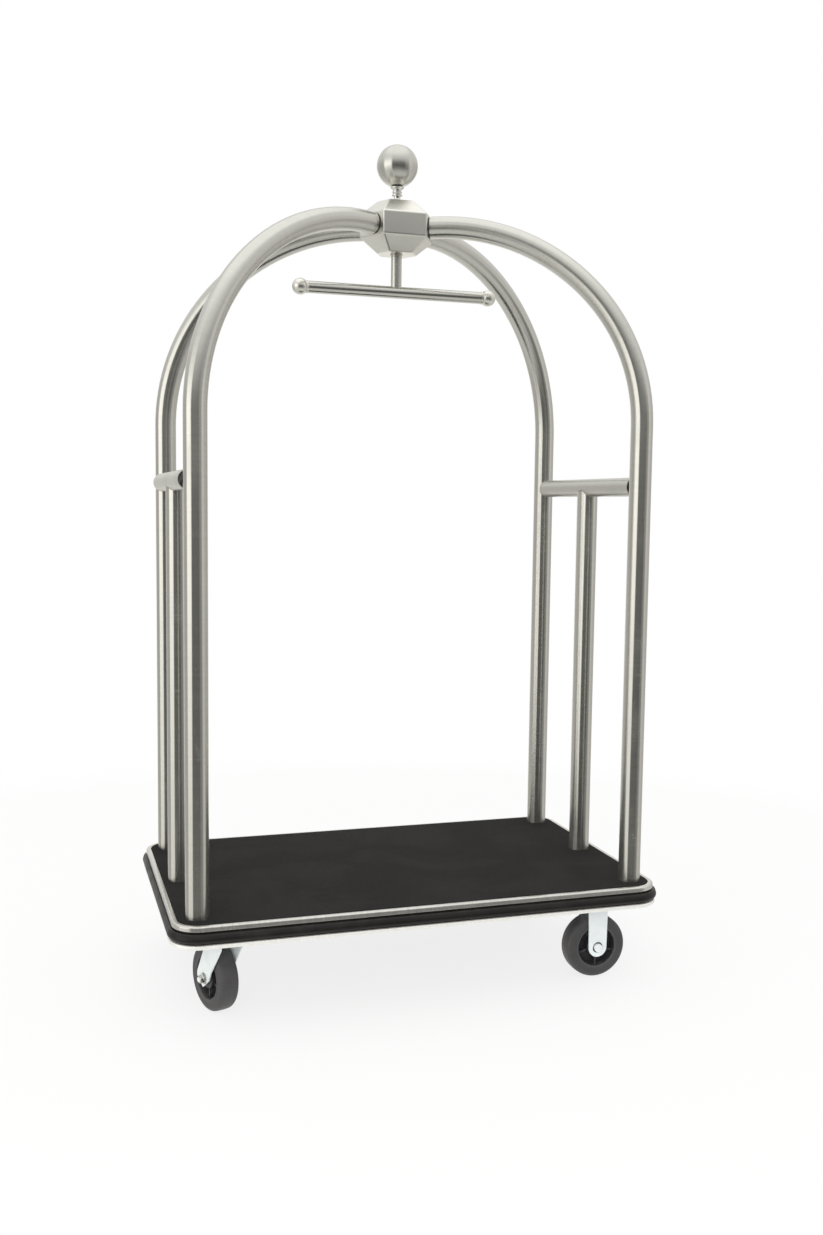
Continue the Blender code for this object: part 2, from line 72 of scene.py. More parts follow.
JOINTS = {joint["name"]: joint for joint in frame["joints"]}
TUBE_R = (box("mid_post_right")[1].x - box("mid_post_right")[0].x) / 2
TUBE_WALL = 0.0015
POST_FOOT = box("mid_post_right")[0].z
POST_X = box("arch_front_right")[1].x - TUBE_R
POST_Y = box("arch_back_right")[1].y - TUBE_R
REACH = hypot(POST_X, POST_Y)
HEADING = atan2(POST_Y, POST_X)
BEND_START = 1.308
BEND_LOW_R = 0.444
BEND_HIGH_R = 0.49
BEND_SPLIT = radians(42)
HUB = middle("hub")
HUB_LOW, HUB_HIGH = box("hub")
HUB_FACE_X = 0.0515
HUB_BAND = 0.0262
HUB_SHRINK = 0.53
BAR_R = (box("crossbar_right")[1].x - box("crossbar_right")[0].x) / 2
# The black plug sits inside each open end of the end bars and paints the shade in the hollow tube.
SHADE_PLUG_DEPTH = 0.0015             # from an end bar's end to its plug
# A black ring in this gap paints the shade line where each arch meets the hub; the ring also joins
# the tube to the hub.
SHADE_RING_GAP = 0.0028               # between an arch's end and the hub

CARPET_LOW, CARPET_HIGH = box("deck_carpet")
TRIM_LOW, TRIM_HIGH = box("trim_top")
BUMPER_LOW, BUMPER_HIGH = box("bumper")
RAIL_LOW, RAIL_HIGH = box("trim_bottom")
SHEET_LOW = box("underside_sheet")[0]
CORNER_R = 0.0485               # the carpet's corners
TRIM_W = TRIM_HIGH.x - CARPET_HIGH.x

WHEEL_R = JOINTS["wheel_front_right_spin"]["pos_m"][2]
TYRE_HALF = 0.0225
CORE_R = 0.0475
LEG_IN = 0.0252
LEG_OUT = 0.0287
PLATE_LOW = box("swivel_plate_front_left")[0].z + 0.006
PLATE_HIGH = box("swivel_plate_front_left")[1].z
PLATE_CORNER_R = 0.008
AXLE_HOLE_R = 0.0128
BOLT_X, BOLT_Y = 0.04, 0.029    # from a caster plate's middle to its bolts


# ---- modelling tools ----
def moved(to):
    return Matrix.Translation(to)


def rotated(angle, axis):
    return Matrix.Rotation(radians(angle), 4, axis)


def choose(*pieces):
    bpy.ops.object.select_all(action="DESELECT")
    for piece in pieces:
        piece.select_set(True)
    bpy.context.view_layer.objects.active = pieces[0]


def settle(piece):
    choose(piece)
    bpy.ops.object.transform_apply(location=True, rotation=True, scale=True)


def add(name, primitive, **sizes):
    """A new primitive with its place in its mesh."""
    bpy.ops.object.select_all(action="DESELECT")
    primitive(**sizes)
    piece = bpy.context.object
    piece.name = piece.data.name = name
    bpy.ops.object.transform_apply(location=True, rotation=True, scale=True)
    return piece


def add_block(name, low, high):
    size = Vector(high) - Vector(low)
    return add(name, bpy.ops.mesh.primitive_cube_add, size=1.0, scale=size,
               location=(Vector(high) + Vector(low)) / 2)


def add_ring(name, radius, sides, place):
    return add(name, bpy.ops.mesh.primitive_circle_add, radius=radius, vertices=sides,
               fill_type="NOTHING", location=place)


def edit(piece):
    choose(piece)
    bpy.ops.object.mode_set(mode="EDIT")
    bpy.ops.mesh.select_all(action="SELECT")


def leave():
    bpy.ops.object.mode_set(mode="OBJECT")


def pick(piece, kind, test):
    """Select what passes a test of its middle and its direction, in edit mode."""
    bpy.ops.mesh.select_mode(type=kind)
    bpy.ops.mesh.select_all(action="DESELECT")
    mesh = bmesh.from_edit_mesh(piece.data)
    if kind == "VERT":
        found = [v for v in mesh.verts if test(v.co, v.normal)]
    elif kind == "EDGE":
        found = [e for e in mesh.edges if test((e.verts[0].co + e.verts[1].co) / 2,
                                               (e.verts[1].co - e.verts[0].co).normalized())]
    else:
        found = [f for f in mesh.faces if test(f.calc_center_median(), f.normal)]
    for part in found:
        part.select_set(True)
    mesh.select_flush_mode()
    bmesh.update_edit_mesh(piece.data)


def draw_out(x=0.0, y=0.0, z=0.0):
    """Extrude the selected edges into a wall."""
    bpy.ops.mesh.extrude_edges_move(TRANSFORM_OT_translate={"value": (x, y, z)})


def raise_faces(x=0.0, y=0.0, z=0.0):
    bpy.ops.mesh.extrude_region_move(TRANSFORM_OT_translate={"value": (x, y, z)})


def swing(angle, centre, axis, steps):
    """Spin the selection; the operator counts turns the other way round its axis."""
    bpy.ops.mesh.spin(steps=steps, angle=-angle, center=centre, axis=axis)


def close_up(piece, distance=0.00002):
    """Merge seams and poles and turn the faces outwards."""
    edit(piece)
    bpy.ops.mesh.remove_doubles(threshold=distance)
    bpy.ops.mesh.normals_make_consistent(inside=False)
    leave()


def apply(piece, kind, **settings):
    choose(piece)
    change = piece.modifiers.new(kind.lower(), kind)
    for key, value in settings.items():
        setattr(change, key, value)
    bpy.ops.object.modifier_apply(modifier=change.name)


def soften(piece, width, segments=2, angle=40):
    """Round the piece's sharp edges and keep its flat faces flat."""
    apply(piece, "BEVEL", width=width, segments=segments, limit_method="ANGLE",
          angle_limit=radians(angle), harden_normals=False)
    smooth(piece)
    apply(piece, "WEIGHTED_NORMAL", keep_sharp=True, weight=60)


def smooth(piece, angle=38):
    choose(piece)
    bpy.ops.object.shade_smooth_by_angle(angle=radians(angle))


def cut(piece, tool, operation="DIFFERENCE"):
    apply(piece, "BOOLEAN", operation=operation, object=tool, solver="EXACT")
    bpy.data.objects.remove(tool, do_unlink=True)


def join(name, *pieces):
    choose(*pieces)
    bpy.ops.object.join()
    pieces[0].name = pieces[0].data.name = name
    return pieces[0]


def turned(name, profile, sides=48):
    """Draw a ring through (radius, height) points, as on a lathe."""
    tip = 0.000004
    radius, height = max(profile[0][0], tip), profile[0][1]
    piece = add_ring(name, radius, sides, (0, 0, height))
    edit(piece)
    for next_radius, next_height in profile[1:]:
        next_radius = max(next_radius, tip)
        share = next_radius / radius
        draw_out(z=next_height - height)
        bpy.ops.transform.resize(value=(share, share, 1), center_override=(0, 0, 0))
        radius, height = next_radius, next_height
    leave()
    close_up(piece)
    smooth(piece)
    return piece


def arc(centre_r, centre_z, radius, first, last, steps):
    """Points of a round stretch of a profile; 0 degrees is outwards and 90 is up."""
    turns = [radians(first + (last - first) * k / steps) for k in range(steps + 1)]
    return [(centre_r + radius * cos(t), centre_z + radius * sin(t)) for t in turns]


def copy_to(source, name, place):
    """A copy with its own mesh, moved by a matrix."""
    piece = source.copy()
    piece.data = source.data.copy()
    bpy.context.collection.objects.link(piece)
    piece.name = piece.data.name = name
    piece.matrix_world = place
    settle(piece)
    return piece


def discard(*pieces):
    for piece in pieces:
        bpy.data.objects.remove(piece, do_unlink=True)


def read(rows, key, kind=int, width=1):
    """One value of each vertex, face or corner of a mesh, as an array."""
    values = np.zeros(len(rows) * width, kind)
    rows.foreach_get(key, values)
    return values


def measure_along(piece, line):
    """Store each vertex's distance along a line of points, for grain that follows the piece.

    Hand back each vertex's nearest step of the line, its distance along and its place.
    """
    line = np.array([list(point) for point in line], float)
    steps = np.diff(line, axis=0)
    lengths = np.linalg.norm(steps, axis=1)
    starts = np.concatenate([[0.0], np.cumsum(lengths)[:-1]])
    points = read(piece.data.vertices, "co", float, 3).reshape(-1, 3)
    offset = points[:, None] - line[None, :-1]
    share = np.clip((offset * steps).sum(axis=2) / (lengths ** 2), 0.0, 1.0)
    gap = np.linalg.norm(offset - share[..., None] * steps, axis=2)
    nearest = gap.argmin(axis=1)
    rows = np.arange(len(nearest))
    along = starts[nearest] + share[rows, nearest] * lengths[nearest]
    stored = piece.data.attributes.new("along", "FLOAT", "POINT")
    stored.data.foreach_set("value", along.astype(np.float32))
    return nearest, along, points


def wrap_round(piece, line, side):
    """Measure a tube and map it: its length runs across the map and its girth runs up it."""
    nearest, along, points = measure_along(piece, line)
    line = np.array([list(point) for point in line], float)
    way = np.diff(line, axis=0)
    way /= np.linalg.norm(way, axis=1)[:, None]
    side = np.array(side, float)
    other = np.cross(way, side)[nearest]
    offset = points - line[nearest]
    turn = np.arctan2((offset * other).sum(axis=1), offset @ side) / (2 * pi)
    mesh = piece.data
    corners = read(mesh.loops, "vertex_index")
    first = corners[read(mesh.polygons, "loop_start")]
    turns = turn[corners]
    turns -= np.round(turns - np.repeat(turn[first], read(mesh.polygons, "loop_total")))
    mapped = mesh.uv_layers.new(name="run")
    mapped.data.foreach_set("uv", np.stack([along[corners], turns], axis=1).ravel())


def fit(piece, look, slot, *nodes, body="root"):
    """Give a piece its finish and the body that carries it, and hide the CAD nodes that it stands
    for.
    """
    piece.data.materials.clear()
    piece.data.materials.append(look)
    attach(piece, body)
    if nodes:
        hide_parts(*nodes)


# ---- shader tools ----
def put(tree, kind, values=None, **settings):
    """Add a node; a value is set on its socket, and an output is linked to it."""
    node = tree.nodes.new("ShaderNode" + kind)
    for key, value in settings.items():
        setattr(node, key, value)
    for key, value in (values or {}).items():
        socket = node.inputs[key]
        if isinstance(value, bpy.types.NodeSocket):
            tree.links.new(value, socket)
        else:
            socket.default_value = value
    return node


def tree_of(*values):
    """The node tree that the first output among some values belongs to."""
    return next(value.id_data for value in values if isinstance(value, bpy.types.NodeSocket))


def calc(operation, first, second=0.0, clamp=False):
    node = put(tree_of(first, second), "Math", {0: first, 1: second}, operation=operation,
               use_clamp=clamp)
    return node.outputs[0]


def times(first, second, clamp=False):
    return calc("MULTIPLY", first, second, clamp)


def weigh(first, share, second, other, clamp=True):
    """The sum of two values, each taken by its share."""
    return calc("ADD", times(first, share), times(second, other), clamp)


def stretch(value, low, high, to_low=0.0, to_high=1.0):
    node = put(value.id_data, "MapRange", {"Value": value, "From Min": low, "From Max": high,
                                           "To Min": to_low, "To Max": to_high},
               interpolation_type="SMOOTHSTEP")
    return node.outputs["Result"]


def blend(share, first, second):
    """Mix two colours, each a plain (red, green, blue) or an output."""
    first, second = ((*value, 1.0) if isinstance(value, tuple) else value
                     for value in (first, second))
    node = put(share.id_data, "Mix", {0: share, 6: first, 7: second}, data_type="RGBA")
    return node.outputs[2]


def noise(place, scale, detail=3.0, roughness=0.5, distortion=0.0):
    node = put(place.id_data, "TexNoise", {"Vector": place, "Scale": scale, "Detail": detail,
                                           "Roughness": roughness, "Distortion": distortion})
    return node.outputs["Fac"]


def new_group(name, inputs, outputs):
    """An empty shared effect, with the sockets inside it for what it is given and gives."""
    group = bpy.data.node_groups.new(name, "ShaderNodeTree")
    for label, kind in inputs:
        group.interface.new_socket(label, in_out="INPUT", socket_type="NodeSocket" + kind)
    for label, kind in outputs:
        group.interface.new_socket(label, in_out="OUTPUT", socket_type="NodeSocket" + kind)
    given, result = group.nodes.new("NodeGroupInput"), group.nodes.new("NodeGroupOutput")
    return group, given.outputs, result.inputs


def use(group, **values):
    """Place a shared effect and hand back its outputs."""
    return put(tree_of(*values.values()), "Group", values, node_tree=group).outputs


def brushed_grain():
    """Fine scratches across the piece's length, with a slower change from band to band."""
    tree, given, result = new_group(
        "brushed grain", [("Along", "Float"), ("Place", "Vector"), ("Fineness", "Float")],
        [("Tone", "Float"), ("Height", "Float")])
    run = times(given["Along"], given["Fineness"])
    line = put(tree, "CombineXYZ", {"X": run})
    drift = put(tree, "VectorMath", {0: given["Place"], 1: (14.0, 14.0, 14.0)},
                operation="MULTIPLY")
    spot = put(tree, "VectorMath", {0: line.outputs[0], 1: drift.outputs[0]},
               operation="ADD").outputs[0]
    fine = noise(spot, 1.0, 4.0, 0.65)
    broad = noise(spot, 0.12, 2.0, 0.5)
    tone = weigh(fine, 0.8, broad, 0.2, clamp=False)
    tree.links.new(stretch(tone, 0.25, 0.75), result["Tone"])
    tree.links.new(fine, result["Height"])
    return tree


def handling_marks():
    """Soft cloudy patches where hands and cloths have dulled a surface, and a few small smears."""
    tree, given, result = new_group("handling marks", [("Place", "Vector"), ("Size", "Float")],
                                    [("Mask", "Float"), ("Cloud", "Float")])
    cloud = noise(given["Place"], given["Size"], 4.0, 0.55, 0.3)
    smear_size = times(given["Size"], 3.7)
    smear = noise(given["Place"], smear_size, 3.0, 0.6, 0.8)
    patches = stretch(cloud, 0.5, 0.68)
    smears = stretch(smear, 0.62, 0.72)
    total = weigh(patches, 0.6, smears, 0.5)
    tree.links.new(total, result["Mask"])
    tree.links.new(cloud, result["Cloud"])
    return tree


def settled_dust():
    """Dust that lies on faces that look up, thicker in some places than in others."""
    tree, given, result = new_group("settled dust", [("Place", "Vector"), ("Amount", "Float")],
                                    [("Mask", "Float")])
    facing = put(tree, "NewGeometry").outputs["Normal"]
    up = put(tree, "SeparateXYZ", {0: facing}).outputs["Z"]
    patches = noise(given["Place"], 35.0, 5.0, 0.65)
    dust = times(stretch(up, 0.1, 0.9, 0.15, 1.0), stretch(patches, 0.38, 0.72))
    amount = times(dust, given["Amount"], clamp=True)
    tree.links.new(amount, result["Mask"])
    return tree


def edge_wear():
    """A mask along outer edges, where a finish is rubbed bright, broken up by small spots."""
    tree, given, result = new_group("edge wear", [("Place", "Vector"), ("Spread", "Float")],
                                    [("Mask", "Float")])
    point = put(tree, "NewGeometry").outputs["Pointiness"]
    edge = stretch(point, 0.52, 0.6)
    spots = noise(given["Place"], 140.0, 4.0, 0.6)
    worn = times(edge, stretch(spots, 0.4, 0.6))
    tree.links.new(times(worn, given["Spread"], clamp=True), result["Mask"])
    return tree


GRAIN, MARKS, DUST, WEAR = brushed_grain(), handling_marks(), settled_dust(), edge_wear()


def new_look(name, **constants):
    """A material with its Principled shader's constant sockets set, and its place on the piece."""
    look = bpy.data.materials.new(name)
    look.use_nodes = True
    tree = look.node_tree
    shader = tree.nodes["Principled BSDF"]
    for key, value in constants.items():
        shader.inputs[key.replace("_", " ")].default_value = value
    place = put(tree, "TexCoord").outputs["Object"]
    return look, tree, shader, place


def feed(shader, **sources):
    for key, source in sources.items():
        shader.id_data.links.new(source, shader.inputs[key.replace("_", " ")])


def bump(height, strength, distance, under=None):
    values = {"Height": height, "Strength": strength, "Distance": distance}
    if under:
        values["Normal"] = under
    return put(height.id_data, "Bump", values).outputs["Normal"]


# ---- finishes ----
def brushed_metal(name, light, dark, smooth_at, rough_at, fineness, depth, stretched=0.0,
                  metallic=1.0):
    """Metal with a satin grain across its length and dulled patches."""
    look, tree, shader, place = new_look(name, Metallic=metallic, Anisotropic=stretched)
    if stretched:
        across = put(tree, "Tangent", direction_type="UV_MAP", uv_map="run")
        feed(shader, Tangent=across.outputs[0])
    along = put(tree, "Attribute", attribute_name="along").outputs["Fac"]
    grain = use(GRAIN, Along=along, Place=place, Fineness=fineness)
    marks = use(MARKS, Place=place, Size=7.0)
    tone = calc("SUBTRACT", grain["Tone"], times(marks["Mask"], 0.35), clamp=True)
    rough = weigh(grain["Tone"], 0.35, marks["Mask"], 0.65)
    feed(shader, Base_Color=blend(tone, dark, light),
         Roughness=stretch(rough, 0.0, 1.0, smooth_at, rough_at),
         Normal=bump(grain["Height"], depth, 0.0003))
    return look


def zinc_plate():
    """Bright zinc with a cold tint, faint spangle and dust."""
    look, tree, shader, place = new_look("zinc plated steel", Metallic=0.15)
    marks = use(MARKS, Place=place, Size=24.0)
    dust = use(DUST, Place=place, Amount=0.25)
    wear = use(WEAR, Place=place, Spread=0.6)
    crystal = put(tree, "TexVoronoi", {"Vector": place, "Scale": 260.0})
    spangle = stretch(crystal.outputs["Distance"], 0.0, 0.6)
    base = blend(spangle, (0.84, 0.9, 0.9), (0.9, 0.95, 0.95))
    base = blend(marks["Mask"], base, (0.78, 0.84, 0.84))
    base = blend(wear["Mask"], base, (0.93, 0.96, 0.96))
    base = blend(dust["Mask"], base, (0.42, 0.41, 0.39))
    rough = calc("ADD", times(marks["Mask"], 0.6), dust["Mask"], clamp=True)
    fine = noise(place, 900.0, 3.0)
    feed(shader, Base_Color=base, Roughness=stretch(rough, 0.0, 1.0, 0.3, 0.6),
         Normal=bump(fine, 0.06, 0.0003))
    return look


def carpet_pile():
    """Short charcoal felted pile with lighter fibres, tracked lanes and a little lint."""
    look, tree, shader, place = new_look("charcoal carpet", Sheen_Weight=0.02, Sheen_Roughness=0.5,
                                         Specular_IOR_Level=0.08)
    tufts = noise(place, 900.0, 5.0, 0.7)
    clumps = noise(place, 260.0, 4.0, 0.65)
    tracks = noise(place, 5.0, 3.0, 0.5, 0.6)
    fibre = put(tree, "TexVoronoi", {"Vector": place, "Scale": 620.0, "Randomness": 1.0})
    pale = stretch(fibre.outputs["Distance"], 0.22, 0.05)
    lint_field = put(tree, "TexVoronoi", {"Vector": place, "Scale": 75.0})
    lint = stretch(lint_field.outputs["Distance"], 0.05, 0.025)
    base = blend(stretch(tufts, 0.3, 0.7), (0.0095, 0.0087, 0.0085), (0.0235, 0.0223, 0.022))
    base = blend(times(stretch(clumps, 0.35, 0.65), 0.45), base, (0.016, 0.0148, 0.0142))
    base = blend(times(pale, 0.4), base, (0.07, 0.067, 0.066))
    base = blend(times(stretch(tracks, 0.4, 0.62), 0.22), base, (0.038, 0.036, 0.035))
    base = blend(times(lint, 0.25), base, (0.2, 0.19, 0.185))
    height = weigh(tufts, 0.6, clumps, 0.7, clamp=False)
    feed(shader, Base_Color=base, Roughness=stretch(clumps, 0.3, 0.7, 0.86, 0.98),
         Normal=bump(height, 0.75, 0.0016))
    return look


def extruded_vinyl():
    """Black bumper vinyl: semi-gloss, faintly pebbled, scuffed in places and a touch brown."""
    look, tree, shader, place = new_look("black bumper vinyl", Specular_IOR_Level=0.25)
    marks = use(MARKS, Place=place, Size=11.0)
    dust = use(DUST, Place=place, Amount=0.12)
    pebble = noise(place, 1400.0, 3.0, 0.6)
    waves = noise(place, 38.0, 2.0)
    base = blend(marks["Cloud"], (0.0085, 0.007, 0.0062), (0.014, 0.0116, 0.0104))
    base = blend(times(marks["Mask"], 0.35), base, (0.03, 0.026, 0.023))
    base = blend(dust["Mask"], base, (0.1, 0.095, 0.09))
    rough = weigh(marks["Mask"], 0.7, pebble, 0.3)
    normal = bump(waves, 0.2, 0.0008)
    feed(shader, Base_Color=base, Roughness=stretch(rough, 0.0, 1.0, 0.34, 0.58),
         Normal=bump(pebble, 0.1, 0.0002, normal))
    return look


def tread_rubber():
    """Grey thermoplastic rubber, rubbed paler where it rolls, with a painted highlight on the lip
    round the hub opening.
    """
    look, tree, shader, place = new_look("grey wheel rubber", Specular_IOR_Level=0.35)
    marks = use(MARKS, Place=place, Size=28.0)
    rubbed = put(tree, "Attribute", attribute_name="rolled_wear_and_lip_highlight").outputs["Fac"]
    grit = noise(place, 700.0, 4.0, 0.7)
    base = blend(marks["Cloud"], (0.05, 0.048, 0.05), (0.072, 0.069, 0.069))
    # The rubbed mask paints a pale highlight on the lip by the hub opening, as well as wear on the
    # tread.
    base = blend(times(rubbed, stretch(grit, 0.25, 0.75)), base, (0.15, 0.145, 0.138))
    rough = weigh(marks["Mask"], 0.5, rubbed, 0.5)
    feed(shader, Base_Color=base, Roughness=stretch(rough, 0.0, 1.0, 0.42, 0.68),
         Normal=bump(grit, 0.12, 0.0004))
    return look


def coated(name, low, high, worn, dusty, patch, wear, dust, speckle, depth, smooth_at, rough_at):
    """Black paint or nylon: cloudy, fine-textured, rubbed paler at its edges and dusty on top."""
    look, tree, shader, place = new_look(name, Specular_IOR_Level=0.5)
    marks = use(MARKS, Place=place, Size=patch)
    rubbed = use(WEAR, Place=place, Spread=wear)
    film = use(DUST, Place=place, Amount=dust)
    base = blend(marks["Cloud"], low, high)
    base = blend(rubbed["Mask"], base, worn)
    base = blend(film["Mask"], base, dusty)
    texture = noise(place, speckle, 2.0)
    feed(shader, Base_Color=base, Roughness=stretch(marks["Mask"], 0.0, 1.0, smooth_at, rough_at),
         Normal=bump(texture, *depth))
    return look


def painted_steel(name, low, high):
    return coated(name, low, high, (0.2, 0.2, 0.21), (0.13, 0.125, 0.12), 9.0, 0.7, 0.5, 320.0,
                  (0.12, 0.0004), 0.38, 0.62)


def plywood():
    """Birch plywood, its grain along the deck."""
    look, tree, shader, place = new_look("birch plywood")
    long_grain = put(tree, "Mapping", {"Vector": place, "Scale": (2.0, 60.0, 160.0)})
    rings = noise(long_grain.outputs[0], 1.0, 6.0, 0.6, 0.7)
    plies = put(tree, "TexWave", {"Vector": place, "Scale": 110.0, "Distortion": 0.4},
                bands_direction="Z")
    base = blend(stretch(rings, 0.3, 0.7), (0.36, 0.24, 0.13), (0.55, 0.41, 0.26))
    base = blend(times(plies.outputs["Fac"], 0.35), base, (0.24, 0.15, 0.08))
    feed(shader, Base_Color=base, Roughness=stretch(rings, 0.0, 1.0, 0.6, 0.8),
         Normal=bump(rings, 0.15, 0.0004))
    return look


TUBING = brushed_metal("brushed tubing", (0.66, 0.652, 0.605), (0.59, 0.582, 0.538),
                       0.22, 0.29, 1900.0, 0.012, 0.9)
STEEL = brushed_metal("satin stainless", (0.82, 0.808, 0.745), (0.74, 0.728, 0.67),
                      0.3, 0.4, 1500.0, 0.03)
TRIM = brushed_metal("brushed edge trim", (0.72, 0.71, 0.67), (0.55, 0.54, 0.5),
                     0.16, 0.34, 500.0, 0.05, 0.0, 0.8)
BRIGHT = brushed_metal("polished stainless", (0.8, 0.79, 0.76), (0.72, 0.71, 0.68),
                       0.05, 0.12, 2400.0, 0.02)
RAIL = brushed_metal("milled lower rail", (0.9, 0.89, 0.84), (0.8, 0.79, 0.74),
                     0.34, 0.5, 500.0, 0.05, 0.0, 0.25)
ZINC = zinc_plate()
CARPET = carpet_pile()
VINYL = extruded_vinyl()
RUBBER = tread_rubber()
NYLON = coated("black wheel nylon", (0.014, 0.014, 0.016), (0.03, 0.03, 0.033),
               (0.075, 0.077, 0.082), (0.1, 0.098, 0.094), 40.0, 0.8, 0.4, 1100.0,
               (0.08, 0.0003), 0.34, 0.58)
PAINTED = painted_steel("satin black paint", (0.014, 0.014, 0.015), (0.026, 0.026, 0.028))
# Near-black finish for the bar end plugs and the arch joint rings, which paint shade.
SHADE_BLACK = painted_steel("black painted shade", (0.006, 0.006, 0.006), (0.012, 0.012, 0.012))
PLYWOOD = plywood()


# ---- deck ----
def deck_line(out, height):
    """Points round the deck, a distance outside the carpet's edge."""
    points = []
    radius = CORNER_R + out
    for k in range(4):
        side_x, side_y = ((1, -1), (1, 1), (-1, 1), (-1, -1))[k]
        centre_x = side_x * (CARPET_HIGH.x - CORNER_R)
        centre_y = side_y * (CARPET_HIGH.y - CORNER_R)
        for step in range(9):
            turn = radians(-90 + 90 * k + 11.25 * step)
            points.append((centre_x + radius * cos(turn), centre_y + radius * sin(turn), height))
    return points + points[:1]


def run_round(name, profile, steps=14):
    """Run a closed profile of (distance outside the carpet's edge, height) round the deck."""
    start_y = CARPET_LOW.y
    piece = add_ring(name, 0.01, len(profile), (0, 0, 0))
    for vertex, (out, height) in zip(piece.data.vertices, profile):
        vertex.co = (0, start_y - out, height)
    edit(piece)
    turn_x = CARPET_HIGH.x - CORNER_R
    turn_y = CARPET_HIGH.y - CORNER_R
    legs = (((turn_x, 0), (1, -1)), ((0, 2 * turn_y), (1, 1)), ((-2 * turn_x, 0), (-1, 1)),
            ((0, -2 * turn_y), (-1, -1)))
    for (run_x, run_y), (side_x, side_y) in legs:
        draw_out(run_x, run_y)
        swing(radians(90), (side_x * turn_x, side_y * turn_y, 0), (0, 0, 1), steps)
    draw_out(turn_x)
    leave()
    close_up(piece)
    smooth(piece, 50)
    measure_along(piece, deck_line(TRIM_W, profile[0][1]))
    return piece


def post_places():
    places = []
    for side_x, name_x in ((-1, "left"), (1, "right")):
        for side_y in (-1, 1):
            places.append((side_x * POST_X, side_y * POST_Y))
        places.append((middle("mid_post_" + name_x).x, 0.0))
    return places


def build_carpet():
    carpet = add_block("carpet", CARPET_LOW, CARPET_HIGH)
    edit(carpet)
    pick(carpet, "EDGE", lambda at, way: abs(way.z) > 0.9)
    bpy.ops.mesh.bevel(offset=CORNER_R, segments=14, affect="EDGES")
    pick(carpet, "FACE", lambda at, way: way.z > 0.9)
    bpy.ops.mesh.inset(thickness=0.0012, depth=0.0)
    bpy.ops.mesh.inset(thickness=0.002, depth=0.0)
    leave()
    for vertex in carpet.data.vertices:
        if vertex.co.z > CARPET_HIGH.z - 0.0001:
            edge = max(abs(vertex.co.x) - CARPET_HIGH.x, abs(vertex.co.y) - CARPET_HIGH.y)
            if edge > -0.0001 or is_outline(vertex.co):
                vertex.co.z -= 0.0011
    for x, y in post_places():
        hole = add("post hole", bpy.ops.mesh.primitive_cylinder_add, vertices=48,
                   radius=TUBE_R + 0.0005, depth=0.03, location=(x, y, CARPET_HIGH.z))
        cut(carpet, hole)
    smooth(carpet, 30)
    fit(carpet, CARPET, "carpet", "deck_carpet")


def is_outline(at):
    """True on the carpet's outer outline, corners included."""
    inner_x = CARPET_HIGH.x - CORNER_R
    inner_y = CARPET_HIGH.y - CORNER_R
    if abs(at.x) < inner_x or abs(at.y) < inner_y:
        return False
    return hypot(abs(at.x) - inner_x, abs(at.y) - inner_y) > CORNER_R - 0.0002


def build_edging():
    top, foot = TRIM_HIGH.z, TRIM_LOW.z
    under = CARPET_LOW.z
    flange = TRIM_W - 0.0031
    profile = [(0.0, under), (0.0, top - 0.0009)] + arc(0.0009, top - 0.0009, 0.0009, 150, 90, 3)
    profile += arc(TRIM_W - 0.0042, top - 0.0042, 0.0042, 90, 0, 8)
    profile += [(TRIM_W, foot + 0.0014)] + arc(TRIM_W - 0.001, foot + 0.001, 0.001, 0, -90, 3)
    profile += [(flange, foot), (flange, under)]
    fit(run_round("edge_trim", profile), TRIM, "steel", "trim_top")

    top, foot = BUMPER_HIGH.z, BUMPER_LOW.z
    out = BUMPER_HIGH.x - CARPET_HIGH.x
    half = (top - foot) / 2
    lip = 0.003
    profile = [(flange, foot), (flange, top), (TRIM_W - 0.0026, top), (TRIM_W - 0.0026, top - lip),
               (TRIM_W + 0.0004, top - lip)]
    profile += arc(out - 0.0075, top - lip - 0.006, 0.006, 88, 32, 5)
    profile += arc(out - 0.011, foot + half - lip / 2, 0.011, 26, -26, 6)
    profile += arc(out - 0.0075, foot + lip + 0.006, 0.006, -32, -88, 5)
    profile += [(TRIM_W + 0.0004, foot + lip), (TRIM_W - 0.0006, foot + 0.001),
                (TRIM_W - 0.0006, foot)]
    fit(run_round("bumper_strip", profile), VINYL, "vinyl", "bumper")

    top, foot = RAIL_HIGH.z, RAIL_LOW.z
    out = RAIL_HIGH.x - CARPET_HIGH.x
    profile = [(flange, foot), (flange, top), (out - 0.0022, top)]
    profile += arc(out - 0.0022, top - 0.0022, 0.0022, 80, 0, 4)
    profile += [(out, foot + 0.003), (out - 0.0009, foot + 0.0024), (out - 0.0012, foot + 0.0008)]
    profile += arc(out - 0.0026, foot + 0.0012, 0.0012, -20, -90, 3)
    fit(run_round("lower_rail", profile), RAIL, "steel", "trim_bottom")


def build_sheet_screws():
    """Pan-head screws that hold the sheet under the deck."""
    head = turned("screw head", [(0.0, SHEET_LOW.z), (0.0048, SHEET_LOW.z)]
                  + arc(0.003, SHEET_LOW.z - 0.0004, 0.0018, 0, -80, 4)
                  + [(0.0015, SHEET_LOW.z - 0.0022), (0.0012, SHEET_LOW.z - 0.001),
                     (0.0, SHEET_LOW.z - 0.001)], 16)
    rows = [(x, y) for x in (-0.3, -0.15, 0.0, 0.15, 0.3) for y in (-0.315, 0.315)]
    rows += [(x, y) for x in (-0.535, 0.535) for y in (-0.12, 0.0, 0.12)]
    heads = [copy_to(head, "screw", moved((x, y, 0))) for x, y in rows]
    discard(head)
    fit(join("sheet_screws", *heads), ZINC, "zinc")


# ---- birdcage ----
def open_tube(name, radius, sides, length, place):
    """A straight tube with open ends, drawn up from the origin and moved by a matrix."""
    tube = add_ring(name, radius, sides, (0, 0, 0))
    edit(tube)
    draw_out(z=length)
    leave()
    close_up(tube)
    apply(tube, "SOLIDIFY", thickness=TUBE_WALL, offset=-1.0)
    tube.matrix_world = place
    settle(tube)
    return tube


def finish_tube(tube, node, start, end, side=(1, 0, 0)):
    """Smooth and map a shape of brushed tubing that runs from start to end."""
    smooth(tube)
    wrap_round(tube, [start, end], side)
    fit(tube, TUBING, "steel", node)


